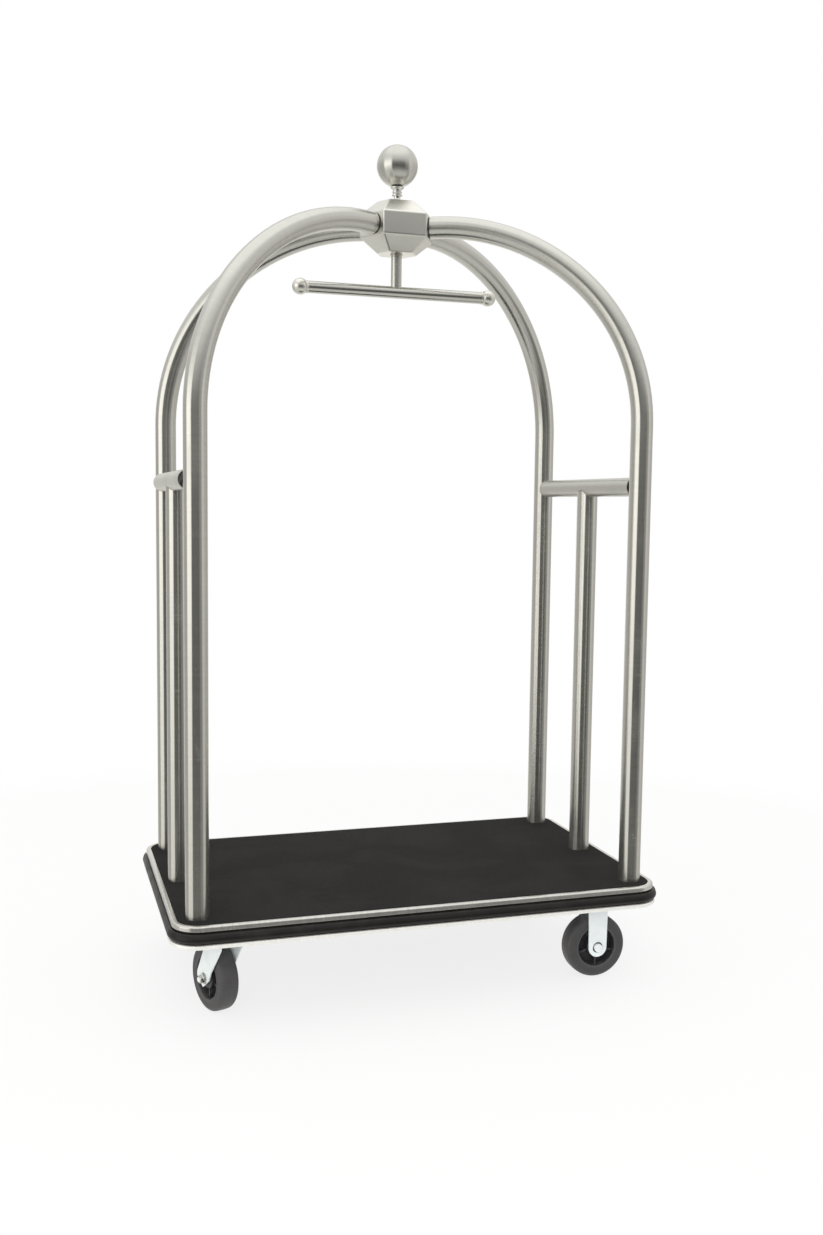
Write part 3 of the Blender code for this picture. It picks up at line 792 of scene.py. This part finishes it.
def arch_line():
    """Points along an arch from foot to hub, in the plane through the hub's axis."""
    line = [Vector((REACH, 0, POST_FOOT)), Vector((REACH, 0, BEND_START))]
    for k in range(1, 15):
        lean = BEND_SPLIT * k / 14
        line.append(Vector((REACH - BEND_LOW_R * (1 - cos(lean)), 0,
                            BEND_START + BEND_LOW_R * sin(lean))))
    corner = line[-1]
    quarter = pi / 2
    for k in range(1, 17):
        lean = BEND_SPLIT + (quarter - BEND_SPLIT) * k / 16
        line.append(corner + BEND_HIGH_R * Vector((cos(lean) - cos(BEND_SPLIT), 0,
                                                   sin(lean) - sin(BEND_SPLIT))))
    face = HUB_FACE_X * cos(HEADING) + HUB_HIGH.y * sin(HEADING)
    return line + [Vector((face, 0, line[-1].z))]


def build_arches():
    line = arch_line()
    shade_ring_r = TUBE_R - 0.003
    tube = add_ring("arch tube", TUBE_R, 64, line[0])
    edit(tube)
    draw_out(z=BEND_START - POST_FOOT)
    low_centre = Vector((REACH - BEND_LOW_R, 0, BEND_START))
    swing(-BEND_SPLIT, low_centre, (0, 1, 0), 16)
    lean = Vector((cos(BEND_SPLIT), 0, sin(BEND_SPLIT)))
    swing(-(pi / 2 - BEND_SPLIT), line[15] - BEND_HIGH_R * lean, (0, 1, 0), 18)
    draw_out(x=line[-1].x + SHADE_RING_GAP - line[-2].x)
    leave()
    close_up(tube)
    apply(tube, "SOLIDIFY", thickness=TUBE_WALL, offset=-1.0, use_even_offset=True)
    smooth(tube)
    wrap_round(tube, line, (0, 1, 0))

    # A near-black ring across the joint gap: a painted shade line at the arch's end, which also
    # gives the tube its hold on the hub.
    shade_ring = add_ring("shade_ring", shade_ring_r, 48, (0, 0, -0.004))
    edit(shade_ring)
    draw_out(z=0.004 + SHADE_RING_GAP - 0.0003)
    bpy.ops.mesh.edge_face_add()
    leave()
    apply(shade_ring, "SOLIDIFY", thickness=0.001, offset=-1.0)
    end = moved(line[-1] + Vector((SHADE_RING_GAP, 0, 0))) @ rotated(-90, "Y")
    for name_x, side_x in (("left", -1), ("right", 1)):
        for name_y, side_y in (("front", -1), ("back", 1)):
            name = name_y + "_" + name_x
            heading = Matrix.Rotation(atan2(side_y * POST_Y, side_x * POST_X), 4, "Z")
            fit(copy_to(tube, "arch_tube_" + name, heading), TUBING, "steel", "arch_" + name)
            fit(copy_to(shade_ring, "arch_seal_" + name, heading @ end), SHADE_BLACK, "painted")
    discard(tube, shade_ring)


def build_ends():
    # A black plug set just inside each open bar end: painted shade in the hollow of the tube.
    shade_plug_r = BAR_R - TUBE_WALL - 0.0003
    shade_plug = turned("end_shade_plug", [(0.0, 0.0), (shade_plug_r - 0.0009, 0.0), (shade_plug_r, 0.0009),
                               (shade_plug_r, 0.012), (0.0, 0.012)], 40)
    for name in ("left", "right"):
        low, high = box("crossbar_" + name)
        at = (low + high) / 2
        place = moved((at.x, low.y, at.z)) @ rotated(-90, "X")
        bar = open_tube("end_bar_" + name, BAR_R, 56, high.y - low.y, place)
        finish_tube(bar, "crossbar_" + name, (at.x, low.y, at.z), (at.x, high.y, at.z))
        for end, inwards, name_y in ((low.y, 1, "front"), (high.y, -1, "back")):
            place = moved((at.x, end + inwards * SHADE_PLUG_DEPTH, at.z)) @ rotated(-90 * inwards, "X")
            fit(copy_to(shade_plug, "end_plug_%s_%s" % (name_y, name), place), SHADE_BLACK, "painted")

        post_x = middle("mid_post_" + name).x
        post = open_tube("middle_post_" + name, TUBE_R, 64, at.z - POST_FOOT,
                         moved((post_x, 0, POST_FOOT)))
        reach = BAR_R + 0.0002
        for vertex in post.data.vertices:
            if vertex.co.z > POST_FOOT + 0.1:
                across = min(abs(vertex.co.x - at.x), reach * 0.93)
                vertex.co.z = at.z - sqrt(reach ** 2 - across ** 2)
        finish_tube(post, "mid_post_" + name, (post_x, 0, POST_FOOT), (post_x, 0, at.z))
    discard(shade_plug)


def build_hub():
    """A faceted block: a six-sided band with sloping faces above and below it."""
    half_y = HUB_HIGH.y
    hub = add_block("hub_block", (-HUB_FACE_X, -half_y, HUB.z - HUB_BAND),
                    (HUB_FACE_X, half_y, HUB.z + HUB_BAND))
    edit(hub)
    bpy.ops.mesh.bisect(plane_co=(0, 0, 0), plane_no=(0, 1, 0))
    pick(hub, "VERT", lambda at, way: abs(at.y) < 0.001)
    bpy.ops.transform.resize(value=(HUB_HIGH.x / HUB_FACE_X, 1, 1), center_override=HUB)
    for side in (-1, 1):
        pick(hub, "FACE", lambda at, way: way.z * side > 0.9)
        raise_faces(z=side * ((HUB_HIGH.z - HUB_LOW.z) / 2 - HUB_BAND))
        bpy.ops.transform.resize(value=(HUB_SHRINK, HUB_SHRINK, 1), center_override=HUB)
    bpy.ops.mesh.select_all(action="SELECT")
    bpy.ops.mesh.dissolve_limited(angle_limit=radians(1))
    leave()
    close_up(hub)
    soften(hub, 0.003, 3, 15)
    measure_along(hub, [(0, 0, HUB_LOW.z), (0, 0, HUB_HIGH.z)])
    fit(hub, STEEL, "steel", "hub")


def build_finial():
    foot, seat = HUB_HIGH.z, box("finial_ball")[0].z
    rise = seat - foot
    profile = [(0.0, foot), (0.0138, foot)] + arc(0.013, foot + 0.0014, 0.0014, -60, 60, 4)
    profile += [(0.0102, foot + 0.004), (0.0082, foot + 0.007), (0.0075, foot + 0.0105),
                (0.0084, foot + 0.0138)]
    profile += arc(0.0094, foot + 0.0172, 0.0031, -75, 75, 6)
    profile += [(0.0092, foot + 0.0209)]
    profile += arc(0.0088, foot + 0.0245, 0.0029, -75, 75, 6)
    profile += [(0.0096, foot + 0.0284), (0.0112, foot + 0.0302), (0.0146, foot + 0.0322),
                (0.0164, foot + 0.034), (0.0164, foot + rise - 0.0004), (0.0, foot + rise
                                                                         - 0.0004)]
    neck = turned("finial_stem", profile, 48)
    measure_along(neck, [(0, 0, foot), (0, 0, seat)])
    fit(neck, BRIGHT, "bright", "finial_neck")

    low, high = box("finial_ball")
    radius = (high.x - low.x) / 2
    centre = high.z - radius
    mouth = 0.0138
    start = -90 + degrees(asin(mouth / radius))
    profile = [(mouth - 0.002, low.z + 0.004), (mouth - 0.001, centre - radius * 0.965)]
    profile += arc(0.0, centre, radius, start, 90, 40)
    ball = turned("finial_globe", profile, 72)
    finish_tube(ball, "finial_ball", (0, 0, low.z), (0, 0, high.z))


def build_hanger():
    low, high = box("hanger_bar")
    height = (low.z + high.z) / 2
    bar_r = (high.z - low.z) / 2
    place = moved((low.x, 0, height)) @ rotated(90, "Y")
    bar = open_tube("garment_bar", bar_r, 48, high.x - low.x, place)
    finish_tube(bar, "hanger_bar", (low.x, 0, height), (high.x, 0, height), (0, 1, 0))

    rod_low, rod_high = box("hanger_rod")
    rod_r = (rod_high.x - rod_low.x) / 2
    top = HUB_LOW.z
    rod = add_ring("hanger_stem", rod_r, 48, (0, 0, height))
    edit(rod)
    for rise in (0.012, 0.02):
        draw_out(z=rise)
    draw_out(z=top - 0.003 - height - 0.032)
    draw_out(z=0.0006)
    bpy.ops.transform.resize(value=(1.14, 1.14, 1), center_override=(0, 0, 0))
    draw_out(z=0.0022)
    bpy.ops.mesh.edge_face_add()
    leave()
    for vertex in rod.data.vertices:
        if vertex.co.z < height + 0.001:
            vertex.co.z = height + sqrt(max(bar_r ** 2 - vertex.co.y ** 2, 0.0))
    close_up(rod)
    finish_tube(rod, "hanger_rod", (0, 0, height), (0, 0, top))

    ball_low, ball_high = box("hanger_ball_right")
    ball_r = (ball_high.z - ball_low.z) / 2
    centre = ball_high.x - ball_r
    flat = high.x
    start = -degrees(acos(min(1.0, 0.0132 / ball_r)))
    profile = [(bar_r - TUBE_WALL - 0.0004, flat - 0.008), (bar_r - TUBE_WALL - 0.0004, flat)]
    profile += [(bar_r + 0.0004, flat), (bar_r + 0.0009, flat + 0.0007),
                (bar_r + 0.0009, flat + 0.0024), (bar_r + 0.0002, flat + 0.0031)]
    profile += arc(0.0, centre, ball_r, start, 90, 20)
    knob = turned("knob", profile, 48)
    measure_along(knob, [(0, 0, flat), (0, 0, ball_high.x)])
    for side, name in ((-1, "left"), (1, "right")):
        place = moved((0, 0, height)) @ rotated(90 * side, "Y")
        fit(copy_to(knob, "hanger_knob_" + name, place), STEEL, "steel", "hanger_ball_" + name)
    discard(knob)


# ---- casters, each modelled over its own swivel axis or axle ----
def model_tyre():
    half = TYRE_HALF
    shoulder = 0.0107
    crown = half - shoulder
    side = [(CORE_R, -0.0196), (CORE_R + 0.0001, -0.0218), (CORE_R + 0.001, -half),
            (CORE_R + 0.003, -half), (CORE_R + 0.0045, -half + 0.0007),
            (CORE_R + 0.012, -half + 0.0002)]
    side += arc(WHEEL_R - shoulder - 0.0005, -crown, shoulder, -82, -2, 9)
    side += [(WHEEL_R - 0.0002, -crown * 0.62), (WHEEL_R - 0.0001, -0.0009), (WHEEL_R, -0.0005)]
    profile = side + [(r, -z) for r, z in reversed(side)]
    tyre = turned("tyre", profile + profile[:1], 96)
    rolled_wear_and_lip_highlight = tyre.data.attributes.new("rolled_wear_and_lip_highlight", "FLOAT", "POINT")
    for vertex in tyre.data.vertices:
        reach = hypot(vertex.co.x, vertex.co.y)
        # The lip next to the hub opening gets a painted highlight; the tread ramp below stands for
        # rolling wear.
        lip = 0.8 if reach < CORE_R + 0.002 else 0.0
        tread = min(1.0, max(0.0, (reach - WHEEL_R + 0.005) / 0.005)) * 0.12
        rolled_wear_and_lip_highlight.data[vertex.index].value = max(lip, tread)
    return tyre


def model_core():
    """Nylon wheel centre: boss, web and rim, with five ribs on each side of the web."""
    half, web, boss, rim = 0.0205, 0.004, 0.0235, 0.0458
    bore = 0.0083
    side = [(bore, -half), (boss - 0.0012, -half), (boss, -half + 0.001), (boss + 0.0006, -web),
            (rim - 0.0018, -web), (rim, -half + 0.0006), (rim + 0.0005, -half),
            (CORE_R - 0.0003, -half)]
    profile = side + [(r, -z) for r, z in reversed(side)]
    core = turned("core", profile + profile[:1], 72)
    ribs = []
    for k in range(5):
        rib = add_block("rib", (boss - 0.001, -0.0023, -half + 0.0055),
                        (rim - 0.0004, 0.0023, half - 0.0055))
        soften(rib, 0.0007, 2)
        rib.matrix_world = rotated(90 + 72 * k, "Z")
        settle(rib)
        ribs.append(rib)
    return join("core", core, *ribs)


def model_bushing():
    """Steel sleeve through the wheel."""
    end = LEG_IN - 0.0004
    profile = [(0.0063, -end), (0.0074, -end), (0.008, -end + 0.0006), (0.008, end - 0.0006),
               (0.0074, end), (0.0063, end), (0.0063, -end)]
    return turned("bushing", profile, 32)


def model_bolt():
    """Axle bolt: a domed head, a plain shank and a threaded end."""
    seat = -LEG_OUT - 0.0003
    head = seat - 0.006
    end = LEG_OUT + 0.0135
    profile = [(0.0, head + 0.0007), (0.004, head + 0.0006), (0.0075, head)]
    profile += arc(0.0086, head + 0.0014, 0.0014, -70, 0, 4)
    profile += [(0.01, seat), (0.006, seat), (0.006, LEG_OUT + 0.0006)]
    pitch = 0.00125
    turns = int((end - 0.0012 - LEG_OUT - 0.0006) / pitch)
    for k in range(turns):
        start = LEG_OUT + 0.0006 + pitch * k
        profile += [(0.0053, start + pitch * 0.25), (0.0059, start + pitch * 0.75)]
    profile += [(0.0048, end), (0.0, end)]
    return turned("bolt", profile, 32)


def hexagon(name, across, low, high):
    return add(name, bpy.ops.mesh.primitive_cylinder_add, vertices=6, radius=across / sqrt(3),
               depth=high - low, location=(0, 0, (low + high) / 2))


def model_nut():
    """Locking nut on a washer, chamfered, with a rounded collar."""
    seat = LEG_OUT + 0.0003
    washer = turned("washer", [(0.0063, seat), (0.0112, seat), (0.0116, seat + 0.0004),
                               (0.0116, seat + 0.0011), (0.0112, seat + 0.0015),
                               (0.0063, seat + 0.0015), (0.0063, seat)], 32)
    nut = hexagon("nut", 0.0185, seat + 0.0016, seat + 0.0082)
    soften(nut, 0.0009, 2)
    collar = turned("collar", [(0.006, seat + 0.008), (0.0086, seat + 0.008)]
                    + arc(0.0074, seat + 0.0098, 0.0012, 0, 90, 4)
                    + [(0.006, seat + 0.011), (0.006, seat + 0.008)], 32)
    return join("nut", washer, nut, collar)


def caster_plate(node):
    """A flat plate as wide and deep as a CAD node, with rounded corners."""
    half = half_size(node)
    plate = add_block("plate", (-half.x, -half.y, PLATE_LOW), (half.x, half.y, PLATE_HIGH))
    edit(plate)
    pick(plate, "EDGE", lambda at, way: abs(way.z) > 0.9)
    bpy.ops.mesh.bevel(offset=PLATE_CORNER_R, segments=6, affect="EDGES")
    leave()
    soften(plate, 0.0005, 2, 60)
    return plate


def model_leg(side, outline, axle_x):
    """A pressed fork leg with a wide hole round the axle, from its outline's (x, z) points."""
    low_y, high_y = sorted((side * LEG_IN, side * LEG_OUT))
    leg = add_ring("leg", 0.01, len(outline), (0, 0, 0))
    for vertex, (x, z) in zip(leg.data.vertices, outline):
        vertex.co = (x, low_y, z)
    edit(leg)
    bpy.ops.mesh.edge_face_add()
    raise_faces(y=high_y - low_y)
    leave()
    close_up(leg)
    hole = add("axle hole", bpy.ops.mesh.primitive_cylinder_add, vertices=40, radius=AXLE_HOLE_R,
               depth=0.02, location=(axle_x, side * LEG_IN, WHEEL_R), rotation=(radians(90), 0, 0))
    cut(leg, hole)
    soften(leg, 0.0005, 2, 50)
    return leg


def model_rigid_fork():
    plate = caster_plate("rigid_fork_front_right")
    top = PLATE_LOW + 0.001
    outline = [(0.025, top), (-0.025, top)] + arc(0.0, WHEEL_R, 0.023, 180, 360, 24)
    parts = [plate]
    for side in (-1, 1):
        parts.append(model_leg(side, outline, 0.0))
        fold = add_block("fold", (-0.025, side * LEG_IN - 0.004, PLATE_LOW - 0.0035),
                         (0.025, side * LEG_IN + 0.004, PLATE_LOW + 0.0005))
        soften(fold, 0.003, 4)
        parts.append(fold)
    return join("rigid fork", *parts)


def model_swivel_fork(trail):
    high = box("swivel_fork_front_left")[1].z
    low = high - 0.011
    crown = turned("crown", [(0.0065, low), (0.0305, low), (0.033, low + 0.0004),
                             (0.0345, low + 0.002), (0.0345, low + 0.0036),
                             (0.0325, low + 0.0052), (0.029, low + 0.0058),
                             (0.0285, high - 0.0008), (0.0275, high), (0.0065, high),
                             (0.0065, low)], 56)
    top = low + 0.003
    outline = [(0.0246, top), (-0.0352, top), (-0.0355, 0.161), (0.0122, 0.095), (0.0212, 0.0755),
               (0.0485, 0.054), (0.0755, 0.073), (0.0755, 0.0835), (0.0455, 0.1395)]
    return join("swivel fork", crown, model_leg(-1, outline, trail), model_leg(1, outline, trail))


def model_swivel_plate():
    """Top plate with its pressed ball race."""
    plate = caster_plate("swivel_plate_front_left")
    foot = box("swivel_plate_front_left")[0].z
    race = turned("race", [(0.0065, PLATE_LOW + 0.0004), (0.0335, PLATE_LOW + 0.0004),
                           (0.032, PLATE_LOW - 0.0014), (0.0318, foot + 0.0014),
                           (0.03, foot), (0.0065, foot), (0.0065, PLATE_LOW + 0.0004)], 56)
    return join("swivel plate", plate, race)


def model_kingpin():
    low, high = box("kingpin_front_left")
    shank = 0.0058
    pin = turned("pin", [(0.0, high.z), (shank, high.z), (shank, low.z + 0.007),
                         (0.0, low.z + 0.007)], 24)
    nut = hexagon("nut", 0.018, low.z + 0.0004, low.z + 0.007)
    soften(nut, 0.0008, 2)
    return join("kingpin", pin, nut)


def model_plate_bolts():
    """Four hexagon bolts with washers that hold a caster plate to the deck."""
    bolts = []
    for x, y in ((-BOLT_X, -BOLT_Y), (BOLT_X, -BOLT_Y), (BOLT_X, BOLT_Y), (-BOLT_X, BOLT_Y)):
        washer = turned("washer", [(0.0, PLATE_LOW), (0.0078, PLATE_LOW),
                                   (0.008, PLATE_LOW - 0.0003), (0.008, PLATE_LOW - 0.0011),
                                   (0.0077, PLATE_LOW - 0.0014), (0.0, PLATE_LOW - 0.0014)], 24)
        head = hexagon("head", 0.012, PLATE_LOW - 0.0062, PLATE_LOW - 0.0013)
        soften(head, 0.0006, 2)
        bolt = join("bolt", head, washer)
        bolt.matrix_world = moved((x, y, 0)) @ Matrix.Rotation(x * 9 + y * 23, 4, "Z")
        settle(bolt)
        bolts.append(bolt)
    return join("plate bolts", *bolts)


def build_casters():
    swivel = Vector(JOINTS["swivel_front_left_turn"]["pos_m"])
    wheel = Vector(JOINTS["wheel_front_left_spin"]["pos_m"])
    trail = (wheel - swivel).to_2d().length
    models = (model_tyre(), model_core(), model_bushing(), model_bolt(), model_nut(),
              model_plate_bolts(), model_rigid_fork(), model_swivel_fork(trail),
              model_swivel_plate(), model_kingpin())
    (tyre, core, bushing, bolt, nut, plate_bolts, rigid_fork, swivel_fork, swivel_plate,
     kingpin) = models
    for name in ("front_left", "back_left", "front_right", "back_right"):
        wheel = Vector(JOINTS["wheel_%s_spin" % name]["pos_m"])
        swivels = name.endswith("left")
        hub = "wheel_" + name
        body = "swivel_" + name if swivels else "root"
        if swivels:
            axis = Vector(JOINTS["swivel_%s_turn" % name]["pos_m"])
            angle = atan2(wheel.y - axis.y, wheel.x - axis.x)
        else:
            axis = wheel
            angle = 0.0 if wheel.y < 0 else pi
        here = moved((axis.x, axis.y, 0))
        turn = Matrix.Rotation(angle, 4, "Z")
        hold = here @ turn
        axle = moved(wheel) @ turn @ rotated(-90, "X")
        if swivels:
            parts = [(swivel_plate, "caster_plate_", here, ZINC, "zinc", "root", "swivel_plate_"),
                     (kingpin, "caster_pin_", here, ZINC, "zinc", "root", "kingpin_"),
                     (swivel_fork, "caster_fork_", hold, ZINC, "zinc", body, "swivel_fork_")]
        else:
            parts = [(rigid_fork, "caster_fork_", hold, ZINC, "zinc", body, "rigid_fork_")]
        parts += [(plate_bolts, "plate_bolts_", here, ZINC, "zinc", "root"),
                  (bushing, "axle_sleeve_", axle, ZINC, "zinc", body, "bushing_"),
                  (bolt, "axle_screw_", axle, ZINC, "zinc", body, "axle_bolt_"),
                  (nut, "lock_nut_", axle, BRIGHT, "bright", body, "axle_nut_"),
                  (core, "wheel_centre_", axle, NYLON, "core", hub, "wheel_core_"),
                  (tyre, "wheel_tyre_", axle, RUBBER, "rubber", hub, "tyre_")]
        for source, piece, place, look, slot, carrier, *nodes in parts:
            fit(copy_to(source, piece + name, place), look, slot,
                *(node + name for node in nodes), body=carrier)
    discard(*models)


def finish_cad_nodes():
    """Finishes for the CAD nodes that stay as they are."""
    painted = ("frame_ring", "caster_beam", "cross_beam", "underside_sheet", "post_anchor")
    for node in frame["nodes"]:
        if node == "deck_board" or node.startswith(painted):
            for slot in frame["nodes"][node].material_slots:
                slot.material = PLYWOOD if node == "deck_board" else PAINTED


# ---- camera, light and floor ----
VIEW_FROM = (-0.843, -2.8345, 1.1211)
VIEW_TURN, VIEW_DIP, VIEW_ROLL = radians(17.45), radians(5.26), 0.012
DOORWAY = radians(-107.45)      # the dark doorway, straight behind the camera
WALLS = ((-180, 1.0), (-158, 0.95), (-142, 0.58), (-82, 0.5), (-74, 1.75), (-34, 1.75),
         (-27, 0.08), (40, 0.07), (49, 0.28), (64, 0.34), (74, 0.8), (86, 0.76), (100, 0.62),
         (124, 0.62), (136, 0.5), (154, 0.55), (166, 0.95))    # (degrees from it, brightness)
LAMP_PLACE, LAMP_AIM = Vector((-1.5, -4.2, 1.5)), Vector((0, 0, 0.7))


def build_camera():
    lens = bpy.data.cameras.new("camera")
    lens.lens = 35.7
    lens.sensor_width = 36.0
    lens.clip_end = 100.0
    camera = bpy.data.objects.new("camera", lens)
    bpy.context.scene.collection.objects.link(camera)
    camera.matrix_world = (moved(VIEW_FROM) @ Matrix.Rotation(-VIEW_TURN, 4, "Z")
                           @ Matrix.Rotation(radians(90) - VIEW_DIP, 4, "X")
                           @ Matrix.Rotation(VIEW_ROLL, 4, "Z"))
    bpy.context.scene.camera = camera


def build_studio():
    """Soft light from a pale ceiling and walls, with a bright panel and a dark doorway.

    What lies behind the cart looks white to the camera.
    """
    world = bpy.data.worlds.new("studio")
    bpy.context.scene.world = world
    world.use_nodes = True
    tree = world.node_tree
    tree.nodes.clear()
    way = put(tree, "TexCoord").outputs["Generated"]
    parts = put(tree, "SeparateXYZ", {0: way})
    turn = calc("ARCTAN2", parts.outputs["Y"], parts.outputs["X"])
    turns = calc("DIVIDE", calc("SUBTRACT", turn, DOORWAY), 2 * pi)
    share = calc("FRACT", calc("ADD", turns, 1.5))
    walls = put(tree, "ValToRGB", {"Fac": share})
    stops = walls.color_ramp.elements
    while len(stops) < len(WALLS):
        stops.new(0.5)
    for element, (angle, level) in zip(stops, WALLS):
        element.position = (angle + 180) / 360
        element.color = (level, level * 0.985, level * 0.95, 1.0)
    rise = parts.outputs["Z"]
    ceiling, overhead, ground = (stretch(rise, sin(radians(start)), sin(radians(full)))
                                 for start, full in ((3, 32), (40, 62), (-15, -46)))
    facing = weigh(parts.outputs["X"], cos(DOORWAY), parts.outputs["Y"], sin(DOORWAY), clamp=False)
    front = stretch(facing, -0.1, 0.4)
    loss = times(front, stretch(rise, -0.32, 0.06, 0.58, -0.08))
    fade = calc("SUBTRACT", 1.0, loss)
    wall = put(tree, "VectorMath", {0: walls.outputs["Color"], "Scale": fade},
               operation="SCALE").outputs[0]
    colour = blend(ceiling, wall, (0.86, 0.86, 0.855))
    colour = blend(overhead, colour, (1.28, 1.28, 1.27))
    colour = blend(ground, colour, (0.74, 0.74, 0.72))
    seen = put(tree, "LightPath").outputs["Is Camera Ray"]
    colour = blend(seen, colour, (1.0, 1.0, 1.0))
    light = put(tree, "Background", {"Color": colour, "Strength": 1.0})
    put(tree, "OutputWorld", {"Surface": light.outputs[0]})


def build_front_light():
    """A wide soft light from the front that leaves no streak in the polished parts."""
    lamp = bpy.data.lights.new("front light", "AREA")
    lamp.shape, lamp.size, lamp.size_y, lamp.energy = "RECTANGLE", 4.0, 2.4, 95.0
    light = bpy.data.objects.new("front light", lamp)
    bpy.context.scene.collection.objects.link(light)
    aim = (LAMP_AIM - LAMP_PLACE).to_track_quat("-Z", "Y").to_matrix().to_4x4()
    light.matrix_world = moved(LAMP_PLACE) @ aim
    light.visible_glossy = light.visible_camera = False


def build_floor():
    """A pale floor that runs out into white, with only the soft shadow under the cart."""
    floor = add("floor", bpy.ops.mesh.primitive_circle_add, vertices=96, radius=14.0,
                fill_type="NGON")
    look = bpy.data.materials.new("pale floor")
    look.use_nodes = True
    tree = look.node_tree
    tree.nodes.clear()
    place = put(tree, "TexCoord").outputs["Object"]
    length = put(tree, "VectorMath", {0: place}, operation="LENGTH").outputs["Value"]
    far = stretch(length, 0.9, 2.6)
    paint = put(tree, "BsdfDiffuse", {"Color": (0.86, 0.86, 0.85, 1.0)})
    glow = put(tree, "Emission", {"Color": (1.0, 1.0, 1.0, 1.0), "Strength": 1.0})
    share = calc("MAXIMUM", far, 0.8)
    seen = put(tree, "MixShader", {0: share, 1: paint.outputs[0], 2: glow.outputs[0]})
    glossy = put(tree, "LightPath").outputs["Is Glossy Ray"]
    clear = put(tree, "BsdfTransparent")
    whole = put(tree, "MixShader", {0: glossy, 1: seen.outputs[0], 2: clear.outputs[0]})
    put(tree, "OutputMaterial", {"Surface": whole.outputs[0]})
    floor.data.materials.append(look)


for build in (build_camera, build_studio, build_front_light, build_floor, build_carpet,
              build_edging, build_sheet_screws, build_arches, build_ends, build_hub,
              build_finial, build_hanger, build_casters, finish_cad_nodes):
    build()
bpy.context.scene.view_settings.view_transform = "Standard"
